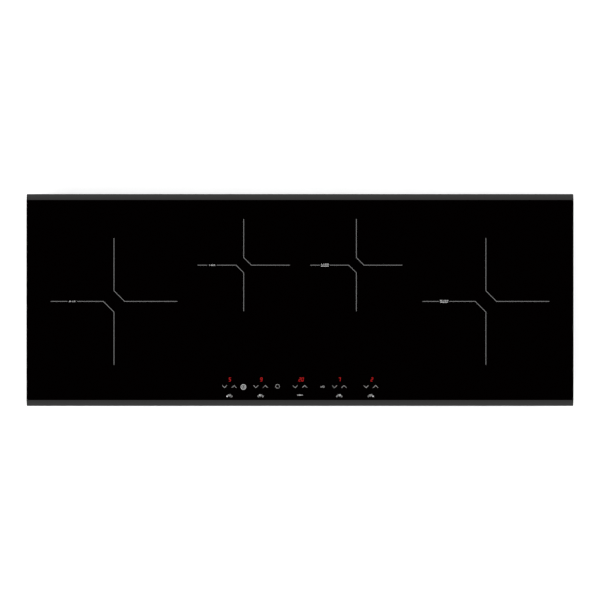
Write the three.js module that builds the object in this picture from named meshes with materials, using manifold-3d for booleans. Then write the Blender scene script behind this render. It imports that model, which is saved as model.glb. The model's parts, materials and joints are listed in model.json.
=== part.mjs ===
// A built-in induction hob with four zones, 900 mm wide. Millimetres, +Z up.
// The origin is under the middle of the casing, +X to the right and -Y towards the user.
import * as THREE from "three";
import { mergeVertices } from "three/addons/utils/BufferGeometryUtils.js";
import Module from "manifold-3d";

const wasm = await Module();
wasm.setup();

// Overall sizes
const hobHeight = 56;
const glassWidth = 900;
const glassDepth = 349;
const fitGap = 0.3;

// Cooktop glass
const glassThickness = 4;
const bevelWidth = 9.9;
const bevelDrop = 2.3;
const glassCornerRadius = 2;
const glassArris = 0.3;

// Worktop cut-out, and the foam tape between the glass and the worktop
const glassOverlap = 14;
const sealWidth = 10;
const sealInset = 2;
const sealThickness = 2.7;

// Steel casing
const sideRoom = 16;
const frontRoom = 5.5;
const trayWall = 1;
const trayTopGap = 1.5;
const trayCornerRadius = 4;
const trayEdgeRadius = 2;
const beadWidth = 9;
const beadHeight = 1.2;
const beadEndMargin = 35;

// Rails under the glass
const railWall = 1;
const railFlange = 7;
const railHeight = 17.7;

// Casing screws
const casingScrewRadius = 1.9;
const casingScrewHeadRadius = 4;
const casingScrewHeadHeight = 2.4;
const casingScrewLength = 8;
const casingScrewDrop = 9.2;
const casingScrewEndMargin = 120;

// Worktop clamps
const clampSpacing = 190;
const clampTravel = 12;
const clampScrewRadius = 2.5;
const clampHeadRadius = 5.5;
const clampHeadHeight = 3;
const clampHeadBottom = 1;
const clampArmThickness = 2;
const clampArmWidth = 13;
const clampArmReach = 28;
const clampLipHeight = 5;
const clampTabWidth = 18;
const clampTabEdge = 6.5;
const clampTabThickness = 1.5;
const clampScrewProtrusion = 3;

// Cooking zones
const zoneEndMargin = 18;
const largeZoneY = -2.3;
const smallZoneX = 92.6;
const smallZoneY = 57.3;
const largeCoilRadius = 95;
const smallCoilRadius = 66;
const coilInnerRadius = 24;
const largeCoilTurns = 8;
const smallCoilTurns = 6;
const wireRadius = 2.2;
const wireSides = 6;
const stepsPerTurn = 14;

// Coil stack
const micaThickness = 0.8;
const micaBoreRadius = 13;
const coilRim = 1;
const carrierHeight = 7;
const carrierRim = 4;
const carrierHubRadius = 18;
const carrierArms = 6;
const carrierArmWidth = 9;
const carrierArmLift = 2;
const sensorRadius = 7;
const sensorCapRadius = 5.2;
const sensorCapStep = 1;
const postLength = 4;

// Coil plate
const coilPlateThickness = 1.5;
const coilPlateSideMargin = 20;
const coilPlateFrontMargin = 5;
const leadHoleRadius = 11;
const leadHolePlace = 0.55;
const plateLegWidth = 36;
const plateFootDepth = 12;
const outerLegMargin = 40;
const leftInnerLegX = -90;
const rightInnerLegX = 150;

// Power units
const powerUnitX = 215;
const boardWidth = 236;
const boardThickness = 1.6;
const boardFrontMargin = 31;
const boardRearGap = 3;
const boardTrayWall = 1.5;
const boardTrayRim = 5;
const boardTrayMargin = 5;
const boardPostHeight = 5;
const boardPostRadius = 4;
const boardPostInset = 8;
const partTopGap = 6;
const sinkWidth = 52;
const sinkTopGap = 3;
const sinkBase = 4;
const sinkEndMargin = 7;
const finCount = 9;
const finThickness = 1.6;

// Blowers
const impellerRadius = 37;
const impellerClearance = 2;
const bladeCount = 16;
const bladeHeight = 17;
const bladeInnerRadius = 28;
const bladeThickness = 1.2;
const bladeSweep = 0.3;
const bladeRing = 3.5;
const discThickness = 1.2;
const cupWall = 1.5;
const motorRadius = 13;
const motorGap = 0.5;
const shaftRadius = 2;
const blowerWall = 1.5;
const blowerInletRadius = 27;
const blowerRearGap = 4;
const scrollGap = 4;
const scrollGrowth = 13;
const scrollSteps = 16;
const outletWidth = 46;
const outletReach = 53;

// Air grilles
const grilleSlots = 9;
const grilleSlotWidth = 3;
const grillePitch = 6;
const exhaustSlots = 11;
const exhaustSlotWidth = 4;
const exhaustPitch = 8;
const exhaustHeight = 18;
const exhaustBottom = 9;

// Mains connection
const terminalX = 65;
const terminalSetback = 43;
const terminalDepth = 26;
const terminalHeight = 20;
const terminalBase = 6;
const terminalPoles = 6;
const terminalRidge = 8;
const terminalFoot = 6;
const terminalFootHeight = 2;
const terminalDivider = 2;
const hatchSetback = 37;
const hatchWidth = 84;
const hatchDepth = 44;
const hatchThickness = 1.6;
const hatchLip = 1.2;
const hatchLipWidth = 20;
const recessSideMargin = 16;
const recessEndMargin = 7;
const recessHeight = 2;
const bushHoleRadius = 10;
const bushBoreRadius = 7;
const bushHeight = 19;
const bushFlange = 3;
const bushFlangeThickness = 2.4;
const filterBoardDepth = 92;
const filterBoardHeight = 6;
const filterBoardGap = 10;
const filterLeftMargin = 19;
const filterRightMargin = 35;

// Touch controls: places along the front of the glass
const controlWidth = 290;
const controlDepth = 38;
const controlFrontGap = 2.2;
const controlWall = 1.5;
const controlBoardLift = 5.5;
const outerColumnX = 116.4;
const innerColumnX = 64.65;
const digitShift = 1.2;
const digitSpacing = 11.7;
const displayDepth = 10;
const displayWidth = 10;
const timerDisplayWidth = 17;
const displayDrop = 0.5;
const guideMargin = 2;
const guideGap = 0.5;
const keyHalfPitch = 7.8;
const keySetback = 4.2;
const ringKeyX = -93;
const powerKeyX = -37;
const lockKeyX = 37.5;
const keySpringRadius = 3;

// Levels, from the glass down
const glassBottom = hobHeight - glassThickness;
const underGlass = glassBottom - fitGap;
const seatHeight = underGlass - sealThickness;
const micaBottom = underGlass - micaThickness;
const windingTop = micaBottom - fitGap;
const windingBottom = windingTop - 2 * wireRadius;
const carrierTop = windingBottom - fitGap;
const carrierBottom = carrierTop - carrierHeight;
const plateTop = carrierBottom - fitGap;
const plateBottom = plateTop - coilPlateThickness;

// Levels, from the casing floor up
const floorTop = trayWall;
const onFloor = floorTop + fitGap;
const boardTrayTop = onFloor + boardTrayWall;
const boardBottom = boardTrayTop + boardPostHeight + fitGap;
const boardTop = boardBottom + boardThickness;

// Sizes in plan that follow from the glass
const cutoutWidth = glassWidth - 2 * glassOverlap;
const cutoutDepth = glassDepth - 2 * glassOverlap;
const trayWidth = cutoutWidth - 2 * sideRoom;
const trayDepth = cutoutDepth - 2 * frontRoom;
const trayHeight = underGlass - trayTopGap;
const railOuterX = trayWidth / 2 - trayWall - fitGap;
const railOuterY = trayDepth / 2 - trayWall - fitGap;
const railBottom = underGlass - railHeight;

// Materials
function material(color, roughness, metalness) {
  return new THREE.MeshStandardMaterial({ color, roughness, metalness });
}
const glassBlack = material(0x050304, 0.05, 0);
const foamBlack = material(0x1b1b1c, 0.95, 0);
const galvanised = material(0xa9adb0, 0.42, 0.9);
const aluminium = material(0xc4c6c8, 0.35, 0.95);
const zincSteel = material(0xbcbcb8, 0.35, 1);
const copperLitz = material(0xb4683a, 0.5, 0.8);
const mica = material(0xb9a98a, 0.6, 0);
const whiteNylon = material(0xd9d6cc, 0.55, 0);
const blackPlastic = material(0x191a1b, 0.55, 0);
const greyPlastic = material(0x55585a, 0.6, 0);
const boardGreen = material(0x1f5a36, 0.5, 0);
const terminalCream = material(0xcfc9b6, 0.5, 0);

// A three.js geometry as a solid: shared vertices merged, collapsed triangles left out
function solid(geometry) {
  const bare = geometry.clone();
  bare.deleteAttribute("normal");
  bare.deleteAttribute("uv");
  const merged = mergeVertices(bare, 1e-4);
  const corners = merged.index.array;
  const triangles = [];
  for (let i = 0; i < corners.length; i += 3) {
    const [a, b, c] = [corners[i], corners[i + 1], corners[i + 2]];
    if (a !== b && b !== c && c !== a) triangles.push(a, b, c);
  }
  return new wasm.Manifold(
    new wasm.Mesh({
      numProp: 3,
      vertProperties: new Float32Array(merged.attributes.position.array),
      triVerts: new Uint32Array(triangles),
    }),
  );
}

function geometryOf(manifold) {
  const { vertProperties, triVerts } = manifold.getMesh();
  const shared = new THREE.BufferGeometry();
  shared.setAttribute("position", new THREE.BufferAttribute(vertProperties, 3));
  shared.setIndex(new THREE.BufferAttribute(triVerts, 1));
  const flat = shared.toNonIndexed();
  flat.computeVertexNormals();
  return flat;
}

function block(x0, x1, y0, y1, z0, z1) {
  const geometry = new THREE.BoxGeometry(x1 - x0, y1 - y0, z1 - z0);
  geometry.translate((x0 + x1) / 2, (y0 + y1) / 2, (z0 + z1) / 2);
  return solid(geometry);
}

// A block given by its middle and size in plan
function slab(x, y, width, depth, z0, z1) {
  return block(x - width / 2, x + width / 2, y - depth / 2, y + depth / 2, z0, z1);
}

function cylinder(x, y, radius, z0, z1, steps = 24) {
  const geometry = new THREE.CylinderGeometry(radius, radius, z1 - z0, steps);
  geometry.rotateX(Math.PI / 2);
  geometry.translate(x, y, (z0 + z1) / 2);
  return solid(geometry);
}

function pipe(inner, outer, z0, z1, steps) {
  return cylinder(0, 0, outer, z0, z1, steps).subtract(cylinder(0, 0, inner, z0 - 1, z1 + 1, steps));
}

// A profile of [radius, height] points, listed upwards on the outside, turned about the Z axis
function revolve(profile, steps) {
  const points = profile.map(([radius, height]) => new THREE.Vector2(radius, height));
  const geometry = new THREE.LatheGeometry(points, steps);
  geometry.rotateX(Math.PI / 2);
  return solid(geometry);
}

// A flat shape in plan, raised from z0 to z1
function raised(shape, z0, z1, curveSegments = 4) {
  const depth = z1 - z0;
  const geometry = new THREE.ExtrudeGeometry(shape, { depth, bevelEnabled: false, curveSegments });
  geometry.translate(0, 0, z0);
  return solid(geometry);
}

// A shape drawn in the Y-Z plane, extruded along X
function drawnAlongX(shape, x0, x1) {
  const geometry = new THREE.ExtrudeGeometry(shape, { depth: x1 - x0, bevelEnabled: false });
  geometry.rotateY(Math.PI / 2);
  geometry.rotateX(Math.PI / 2);
  geometry.translate(x0, 0, 0);
  return solid(geometry);
}

// A shape drawn in the X-Z plane, extruded along Y
function drawnAlongY(shape, y0, y1) {
  const geometry = new THREE.ExtrudeGeometry(shape, { depth: y1 - y0, bevelEnabled: false });
  geometry.rotateX(Math.PI / 2);
  geometry.translate(0, y1, 0);
  return solid(geometry);
}

function polygon(points) {
  return new THREE.Shape(points.map(([x, y]) => new THREE.Vector2(x, y)));
}

function roundedRectangle(width, depth, radius) {
  const x = width / 2;
  const y = depth / 2;
  const shape = new THREE.Shape();
  shape.moveTo(-x + radius, -y);
  shape.lineTo(x - radius, -y);
  shape.absarc(x - radius, -y + radius, radius, -Math.PI / 2, 0, false);
  shape.lineTo(x, y - radius);
  shape.absarc(x - radius, y - radius, radius, 0, Math.PI / 2, false);
  shape.lineTo(-x + radius, y);
  shape.absarc(-x + radius, y - radius, radius, Math.PI / 2, Math.PI, false);
  shape.lineTo(-x, -y + radius);
  shape.absarc(-x + radius, -y + radius, radius, Math.PI, Math.PI * 1.5, false);
  return shape;
}

function union(pieces) {
  return pieces.reduce((whole, piece) => whole.add(piece));
}

// A round hole through an upright wall at the origin, its axis along Y
function wallHole(radius, halfLength, steps = 12) {
  return cylinder(0, 0, radius, -halfLength, halfLength, steps).rotate([90, 0, 0]);
}

// The scene graph
const hob = new THREE.Group();

function place(name, geometry, finish, x = 0, y = 0, z = 0, turn = 0) {
  const mesh = new THREE.Mesh(geometry, finish);
  mesh.name = name;
  mesh.position.set(x, y, z);
  mesh.rotation.z = turn;
  hob.add(mesh);
}

// The glass: front and rear edges ground to a bevel, a small arris at the ends, rounded corners
function makeGlass() {
  const halfDepth = glassDepth / 2;
  const halfWidth = glassWidth / 2;
  const bevelEdge = hobHeight - bevelDrop;
  const crossSection = polygon([
    [-halfDepth, glassBottom],
    [halfDepth, glassBottom],
    [halfDepth, bevelEdge],
    [halfDepth - bevelWidth, hobHeight],
    [-halfDepth + bevelWidth, hobHeight],
    [-halfDepth, bevelEdge],
  ]);
  const longSection = polygon([
    [-halfWidth, glassBottom],
    [halfWidth, glassBottom],
    [halfWidth, hobHeight - glassArris],
    [halfWidth - glassArris, hobHeight],
    [-halfWidth + glassArris, hobHeight],
    [-halfWidth, hobHeight - glassArris],
  ]);
  const outline = roundedRectangle(glassWidth, glassDepth, glassCornerRadius);
  return raised(outline, glassBottom - 1, hobHeight + 1)
    .intersect(drawnAlongX(crossSection, -halfWidth - 1, halfWidth + 1))
    .intersect(drawnAlongY(longSection, -halfDepth - 1, halfDepth + 1));
}

place("cooktop_glass", geometryOf(makeGlass()), glassBlack);

// Foam tape, in four lengths that butt at the corners
function placeSeals() {
  const outerX = glassWidth / 2 - sealInset;
  const outerY = glassDepth / 2 - sealInset;
  const endLength = 2 * (outerY - sealWidth - fitGap);
  const longTape = geometryOf(slab(0, 0, 2 * outerX, sealWidth, seatHeight, underGlass));
  const endTape = geometryOf(slab(0, 0, sealWidth, endLength, seatHeight, underGlass));
  place("seal_front", longTape, foamBlack, 0, -outerY + sealWidth / 2);
  place("seal_rear", longTape, foamBlack, 0, outerY - sealWidth / 2);
  place("seal_left", endTape, foamBlack, -outerX + sealWidth / 2, 0);
  place("seal_right", endTape, foamBlack, outerX - sealWidth / 2, 0);
}

placeSeals();

// Angle rails inside the casing walls: the flange takes the glass, the web takes the screws
const casingScrewX = trayWidth / 2 - casingScrewEndMargin;
const casingScrewZ = underGlass - casingScrewDrop;

function makeRail(length, screwPlaces) {
  const section = polygon([
    [0, railBottom],
    [0, underGlass],
    [-railFlange, underGlass],
    [-railFlange, underGlass - railWall],
    [-railWall, underGlass - railWall],
    [-railWall, railBottom],
  ]);
  let rail = drawnAlongX(section, -length / 2, length / 2);
  for (const x of screwPlaces) {
    const hole = wallHole(casingScrewRadius + fitGap, 2 * railWall);
    rail = rail.subtract(hole.translate([x, 0, casingScrewZ]));
  }
  return geometryOf(rail);
}

function placeRails() {
  const longLength = 2 * (railOuterX - trayCornerRadius);
  const endLength = 2 * (railOuterY - railFlange - fitGap);
  const longRail = makeRail(longLength, [-casingScrewX, casingScrewX]);
  const endRail = makeRail(endLength, [0]);
  place("rail_rear", longRail, galvanised, 0, railOuterY);
  place("rail_front", longRail, galvanised, 0, -railOuterY, 0, Math.PI);
  place("rail_right", endRail, galvanised, railOuterX, 0, 0, -Math.PI / 2);
  place("rail_left", endRail, galvanised, -railOuterX, 0, 0, Math.PI / 2);
}

placeRails();

// Places in plan that the casing shares with what it holds
const sides = [["left", -1], ["right", 1]];
const clampAxisX = trayWidth / 2 + sideRoom / 2;
const clampArmBottom = clampHeadBottom + clampHeadHeight + fitGap;
const clampTabBottom = clampArmBottom + clampArmThickness + clampTravel + fitGap;
const clampTabTop = clampTabBottom + clampTabThickness;
const scrollStart = impellerRadius + scrollGap;
const scrollEnd = scrollStart + scrollGrowth;
const blowerShift = scrollEnd - outletWidth / 2;
const blowerY = trayDepth / 2 - trayWall - blowerRearGap - blowerWall - scrollRadius(Math.PI / 2);
const terminalY = trayDepth / 2 - terminalSetback;
const hatchY = trayDepth / 2 - hatchSetback;
const recessWidth = hatchWidth + 2 * recessSideMargin;
const recessDepth = hatchDepth + 2 * recessEndMargin;
const boardTrayWidth = boardWidth + 2 * boardTrayMargin;
const middleHalf = powerUnitX - boardTrayWidth / 2;

// The scroll widens evenly from its tongue, anticlockwise round to the outlet side
function tongueAngle(wall) {
  return -Math.acos((scrollEnd - outletWidth - wall) / -(scrollStart + wall));
}

function scrollRadius(angle) {
  const first = tongueAngle(0);
  return scrollStart + (scrollGrowth * (angle - first)) / (Math.PI - first);
}

// Steel pressed up from below by a height, the same wall all over
function pressedUp(x, y, width, depth, height) {
  const skin = 2 * trayWall;
  return {
    ridge: slab(x, y, width + skin, depth + skin, 0, height + trayWall),
    hollow: slab(x, y, width, depth, -1, height),
  };
}

// An outline raised from z = 0 with its bottom edge turned over a radius
function softBottom(outline, height, radius) {
  const geometry = new THREE.ExtrudeGeometry(outline, {
    depth: height,
    bevelThickness: radius,
    bevelSize: radius,
    bevelOffset: -radius,
    bevelSegments: 2,
    curveSegments: 3,
  });
  geometry.translate(0, 0, radius);
  const cap = slab(0, 0, 2 * glassWidth, 2 * glassDepth, height, 2 * height);
  return solid(geometry).subtract(cap);
}

// Parallel slots whose ends follow a circle
function roundGrille(x, y, radius) {
  const slots = [];
  for (let i = 0; i < grilleSlots; i += 1) {
    const offset = (i - (grilleSlots - 1) / 2) * grillePitch;
    const reach = Math.sqrt(radius * radius - offset * offset);
    slots.push(slab(x + offset, y, grilleSlotWidth, 2 * reach, -1, floorTop + 1));
  }
  return union(slots);
}

function exhaustGrille(x) {
  const slots = [];
  for (let i = 0; i < exhaustSlots; i += 1) {
    const slotX = x + (i - (exhaustSlots - 1) / 2) * exhaustPitch;
    const top = exhaustBottom + exhaustHeight;
    slots.push(slab(slotX, -trayDepth / 2, exhaustSlotWidth, 4 * trayWall, exhaustBottom, top));
  }
  return union(slots);
}

// Where each casing screw enters, and its turn about Z from pointing along +Y
const casingScrews = [
  { x: -casingScrewX, y: -trayDepth / 2, turn: 0 },
  { x: casingScrewX, y: -trayDepth / 2, turn: 0 },
  { x: casingScrewX, y: trayDepth / 2, turn: 180 },
  { x: -casingScrewX, y: trayDepth / 2, turn: 180 },
  { x: trayWidth / 2, y: 0, turn: 90 },
  { x: -trayWidth / 2, y: 0, turn: -90 },
];

// A tab lanced out of the end wall and bent level, tapped for a clamp screw
function withClampTab(tray, side, y) {
  const wallX = side * (trayWidth / 2);
  const tabDepth = sideRoom / 2 + clampTabEdge;
  const tabX = wallX + (side * (tabDepth - trayWall)) / 2;
  const tab = slab(tabX, y, tabDepth + trayWall, clampTabWidth, clampTabBottom, clampTabTop);
  const lanced = slab(wallX, y, 4 * trayWall, clampTabWidth, clampTabBottom - tabDepth, clampTabBottom);
  const holeRadius = clampScrewRadius + fitGap;
  const hole = cylinder(side * clampAxisX, y, holeRadius, clampTabBottom - 1, clampTabTop + 1, 12);
  return tray.subtract(lanced).add(tab).subtract(hole);
}

function makeTray() {
  const outer = roundedRectangle(trayWidth, trayDepth, trayCornerRadius);
  const innerWidth = trayWidth - 2 * trayWall;
  const innerDepth = trayDepth - 2 * trayWall;
  const inner = roundedRectangle(innerWidth, innerDepth, trayCornerRadius - trayWall);
  const room = softBottom(inner, trayHeight, trayEdgeRadius - trayWall).translate([0, 0, trayWall]);
  let tray = softBottom(outer, trayHeight, trayEdgeRadius).subtract(room);

  // The outer beads run midway between the power units and the end walls
  const beadX = (powerUnitX + boardTrayWidth / 2 + trayWidth / 2) / 2;
  const beadLength = trayDepth - 2 * beadEndMargin;
  const pressings = [pressedUp(terminalX, hatchY, recessWidth, recessDepth, recessHeight)];
  for (const x of [-beadX, -middleHalf + beadWidth, beadX]) {
    pressings.push(pressedUp(x, -beadEndMargin / 2, beadWidth, beadLength - beadEndMargin, beadHeight));
  }
  tray = tray.add(union(pressings.map((pressing) => pressing.ridge)));
  tray = tray.subtract(union(pressings.map((pressing) => pressing.hollow)));
  tray = tray.subtract(slab(terminalX, hatchY, hatchWidth, hatchDepth, -1, 2 * recessHeight + 1));

  for (const [, side] of sides) {
    const unitX = side * powerUnitX;
    tray = tray.subtract(roundGrille(unitX + blowerShift, blowerY, blowerInletRadius));
    tray = tray.subtract(exhaustGrille(unitX));
    for (const end of [-1, 1]) {
      tray = withClampTab(tray, side, (end * clampSpacing) / 2);
    }
  }
  for (const { x, y, turn } of casingScrews) {
    const hole = wallHole(casingScrewRadius + fitGap, 2 * trayWall).rotate([0, 0, turn]);
    tray = tray.subtract(hole.translate([x, y, casingScrewZ]));
  }
  const bushHole = wallHole(bushHoleRadius, 2 * trayWall, 16);
  return tray.subtract(bushHole.translate([terminalX, trayDepth / 2, bushHeight]));
}

place("base_tray", geometryOf(makeTray()), galvanised);

// Casing screws: pan head outside the casing, shank and point inwards
function makeCasingScrew() {
  const shank = casingScrewRadius;
  const head = casingScrewHeadRadius;
  const height = casingScrewHeadHeight;
  const headProfile = [
    [0, 0],
    [head, 0],
    [head * 0.9, height * 0.6],
    [head * 0.5, height],
    [0, height],
  ];
  const shankProfile = [
    [0, -casingScrewLength - shank],
    [shank, -casingScrewLength],
    [shank, height / 2],
    [0, height / 2],
  ];
  const upright = revolve(headProfile, 10).add(revolve(shankProfile, 10));
  return upright.rotate([90, 0, 0]).translate([0, -fitGap, 0]);
}

function placeCasingScrews() {
  const screw = geometryOf(makeCasingScrew());
  casingScrews.forEach(({ x, y, turn }, i) => {
    place(`casing_screw_${i + 1}`, screw, zincSteel, x, y, casingScrewZ, (turn * Math.PI) / 180);
  });
}

placeCasingScrews();

// Worktop clamps: each screw runs up through its tab and carries an arm on its head
function makeClampScrew() {
  const headTop = clampHeadBottom + clampHeadHeight;
  const hexRadius = clampHeadRadius * 0.75;
  const top = clampTabTop + clampScrewProtrusion;
  const flange = revolve(
    [
      [0, clampHeadBottom + 1],
      [hexRadius, clampHeadBottom + 1],
      [clampHeadRadius, headTop - 1],
      [clampHeadRadius, headTop],
      [clampScrewRadius, headTop],
      [clampScrewRadius, top - 1],
      [clampScrewRadius - 1, top],
      [0, top],
    ],
    10,
  );
  return flange.add(cylinder(0, 0, hexRadius, clampHeadBottom, clampHeadBottom + 1.5, 6));
}

// The arm turns on the screw at the origin and lies along +Y; its lip meets the worktop
function makeClampArm() {
  const half = clampArmWidth / 2;
  const shape = new THREE.Shape();
  shape.moveTo(half, 0);
  shape.lineTo(half, clampArmReach);
  shape.lineTo(-half, clampArmReach);
  shape.lineTo(-half, 0);
  shape.absarc(0, 0, half, Math.PI, 2 * Math.PI, false);
  const top = clampArmBottom + clampArmThickness;
  const plate = raised(shape, clampArmBottom, top, 6);
  const lipStart = clampArmReach - clampArmThickness;
  const lip = block(-half, half, lipStart, clampArmReach, clampArmBottom, top + clampLipHeight);
  const bore = cylinder(0, 0, clampScrewRadius + fitGap, 0, top + 1, 12);
  return plate.add(lip).subtract(bore);
}

function placeClamps() {
  const screw = geometryOf(makeClampScrew());
  const arm = geometryOf(makeClampArm());
  for (const [sideName, side] of sides) {
    for (const [endName, end] of [["front", -1], ["rear", 1]]) {
      const x = side * clampAxisX;
      const y = (end * clampSpacing) / 2;
      const stowed = end > 0 ? Math.PI : 0;
      place(`clamp_screw_${sideName}_${endName}`, screw, zincSteel, x, y);
      place(`clamp_arm_${sideName}_${endName}`, arm, zincSteel, x, y, 0, stowed);
    }
  }
}

placeClamps();

// Zones
const largeZoneX = trayWidth / 2 - zoneEndMargin - largeCoilRadius - coilRim;
const large = { radius: largeCoilRadius, turns: largeCoilTurns };
const small = { radius: smallCoilRadius, turns: smallCoilTurns };
const zones = [
  { name: "left_large", x: -largeZoneX, y: largeZoneY, coil: large },
  { name: "left_small", x: -smallZoneX, y: smallZoneY, coil: small },
  { name: "right_small", x: smallZoneX, y: smallZoneY, coil: small },
  { name: "right_large", x: largeZoneX, y: largeZoneY, coil: large },
];
const wireHalfWidth = wireRadius / Math.cos(Math.PI / wireSides);
const leadLength = 2 * wireRadius;

// One wire: a short straight lead, an even spiral from the inside out, and a straight lead
class SpiralWire extends THREE.Curve {
  constructor(coil) {
    super();
    this.inner = coilInnerRadius;
    this.outer = coil.radius - wireHalfWidth;
    this.sweep = coil.turns * 2 * Math.PI;
    this.steps = coil.turns * stepsPerTurn + 2;
  }

  // Steps are equal turns of the spiral, not equal lengths of wire
  getUtoTmapping(u) {
    return u;
  }

  spiralPoint(angle) {
    const radius = this.inner + ((this.outer - this.inner) * angle) / this.sweep;
    return new THREE.Vector3(radius * Math.cos(angle), radius * Math.sin(angle), 0);
  }

  getPoint(t) {
    const step = t * this.steps;
    const firstStraight = Math.min(step - 1, 0) * leadLength;
    const lastStraight = Math.max(step - this.steps + 1, 0) * leadLength;
    const turned = Math.min(Math.max(step - 1, 0), this.steps - 2) / (this.steps - 2);
    const point = this.spiralPoint(turned * this.sweep);
    point.y += firstStraight + lastStraight;
    return point;
  }
}

function makeWinding(coil) {
  const corners = [];
  for (let i = 0; i < wireSides; i += 1) {
    const angle = ((i + 0.5) * 2 * Math.PI) / wireSides;
    corners.push([wireHalfWidth * Math.cos(angle), wireHalfWidth * Math.sin(angle)]);
  }
  const curve = new SpiralWire(coil);
  const options = { steps: curve.steps, extrudePath: curve, bevelEnabled: false };
  return solid(new THREE.ExtrudeGeometry(polygon(corners), options));
}

// The least gap between one turn and the next, measured on points along the wire
function leastGap(coil) {
  const curve = new SpiralWire(coil);
  const perStep = 4;
  const points = curve.getPoints(curve.steps * perStep);
  const halfTurn = (stepsPerTurn * perStep) / 2;
  let least = Infinity;
  for (let i = 0; i < points.length; i += 1) {
    for (let j = i + halfTurn; j < points.length; j += 1) {
      least = Math.min(least, points[i].distanceTo(points[j]));
    }
  }
  return least - 2 * wireHalfWidth;
}

// A carrier: hub, rim and arms that hold the ferrite bars, with a post at each end of the wire
function makeCarrier(coil) {
  const rimOuter = coil.radius + coilRim;
  const rimInner = rimOuter - carrierRim;
  const armBottom = carrierBottom + carrierArmLift;
  let carrier = cylinder(0, 0, carrierHubRadius, carrierBottom, carrierTop, 16);
  carrier = carrier.add(pipe(rimInner, rimOuter, carrierBottom, carrierTop, 24));
  for (let i = 0; i < carrierArms / 2; i += 1) {
    const arm = slab(0, 0, 2 * rimInner + carrierRim, carrierArmWidth, armBottom, carrierTop);
    carrier = carrier.add(arm.rotate([0, 0, (i * 360) / carrierArms]));
  }
  const near = leadLength + fitGap;
  const far = near + postLength;
  const innerPost = block(0, coilInnerRadius + 1, -far, -near, armBottom, windingTop);
  const outerPost = block(coil.radius - 2 * wireHalfWidth, rimOuter, near, far, armBottom, windingTop);
  const bore = cylinder(0, 0, sensorRadius + fitGap, carrierBottom - 1, windingTop + 1, 12);
  return carrier.add(innerPost).add(outerPost).subtract(bore);
}

// The sensor stands on the coil plate and reaches the glass through the hub and the mica
function makeSensor() {
  const shoulder = carrierTop + sensorCapStep;
  return revolve(
    [
      [0, carrierBottom],
      [sensorRadius, carrierBottom],
      [sensorRadius, shoulder],
      [sensorCapRadius, shoulder],
      [sensorCapRadius, underGlass],
      [0, underGlass],
    ],
    12,
  );
}

function placeZones() {
  const sensor = geometryOf(makeSensor());
  for (const coil of [large, small]) {
    const carrier = geometryOf(makeCarrier(coil));
    const winding = geometryOf(makeWinding(coil));
    const insulator = geometryOf(pipe(micaBoreRadius, coil.radius + coilRim, micaBottom, underGlass, 24));
    console.log(`winding of radius ${coil.radius} mm: least gap ${leastGap(coil).toFixed(2)} mm`);
    for (const { name, x, y } of zones.filter((zone) => zone.coil === coil)) {
      place(`carrier_${name}`, carrier, whiteNylon, x, y);
      place(`winding_${name}`, winding, copperLitz, x, y, windingBottom + wireRadius);
      place(`insulator_${name}`, insulator, mica, x, y);
      place(`sensor_${name}`, sensor, aluminium, x, y);
    }
  }
}

placeZones();

// Coil plate: a level sheet with lead holes, standing on bent legs
function makeCoilPlate() {
  const halfDepth = trayDepth / 2 - coilPlateFrontMargin;
  const halfWidth = trayWidth / 2 - coilPlateSideMargin;
  const wall = coilPlateThickness;
  const outerLegX = trayWidth / 2 - outerLegMargin;
  let plate = block(-halfWidth, halfWidth, -halfDepth, halfDepth, plateBottom, plateTop);
  for (const x of [-outerLegX, leftInnerLegX, rightInnerLegX, outerLegX]) {
    for (const side of [-1, 1]) {
      const webY = side * (halfDepth - wall / 2);
      const footY = side * (halfDepth - plateFootDepth / 2);
      plate = plate
        .add(slab(x, webY, plateLegWidth, wall, onFloor, plateTop))
        .add(slab(x, footY, plateLegWidth, plateFootDepth, onFloor, onFloor + wall));
    }
  }
  for (const { x, y, coil } of zones) {
    for (const side of [-1, 1]) {
      const holeX = x + side * coil.radius * leadHolePlace;
      plate = plate.subtract(cylinder(holeX, y, leadHoleRadius, plateBottom - 1, plateTop + 1, 10));
    }
  }
  return plate;
}

place("coil_plate", geometryOf(makeCoilPlate()), aluminium);

// Power units: a plastic tray, its board, and the heat sink in the air stream
const boardTrayFront = -trayDepth / 2 + boardFrontMargin - boardTrayMargin;
const boardTrayRear = blowerY - outletReach - boardRearGap;
const boardTrayDepth = boardTrayRear - boardTrayFront;
const boardDepth = boardTrayDepth - 2 * boardTrayMargin;
const boardY = (boardTrayFront + boardTrayRear) / 2;

function makeBoardTray() {
  const wall = 2 * boardTrayWall;
  const rimTop = boardTrayTop + boardTrayRim;
  const outer = slab(0, 0, boardTrayWidth, boardTrayDepth, onFloor, rimTop);
  const room = slab(0, 0, boardTrayWidth - wall, boardTrayDepth - wall, boardTrayTop, rimTop + 1);
  let tray = outer.subtract(room);
  for (const sideX of [-1, 1]) {
    for (const sideY of [-1, 1]) {
      const x = sideX * (boardWidth / 2 - boardPostInset);
      const y = sideY * (boardDepth / 2 - boardPostInset);
      const postTop = boardTrayTop + boardPostHeight;
      tray = tray.add(cylinder(x, y, boardPostRadius, onFloor, postTop, 8));
    }
  }
  return tray;
}

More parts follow.
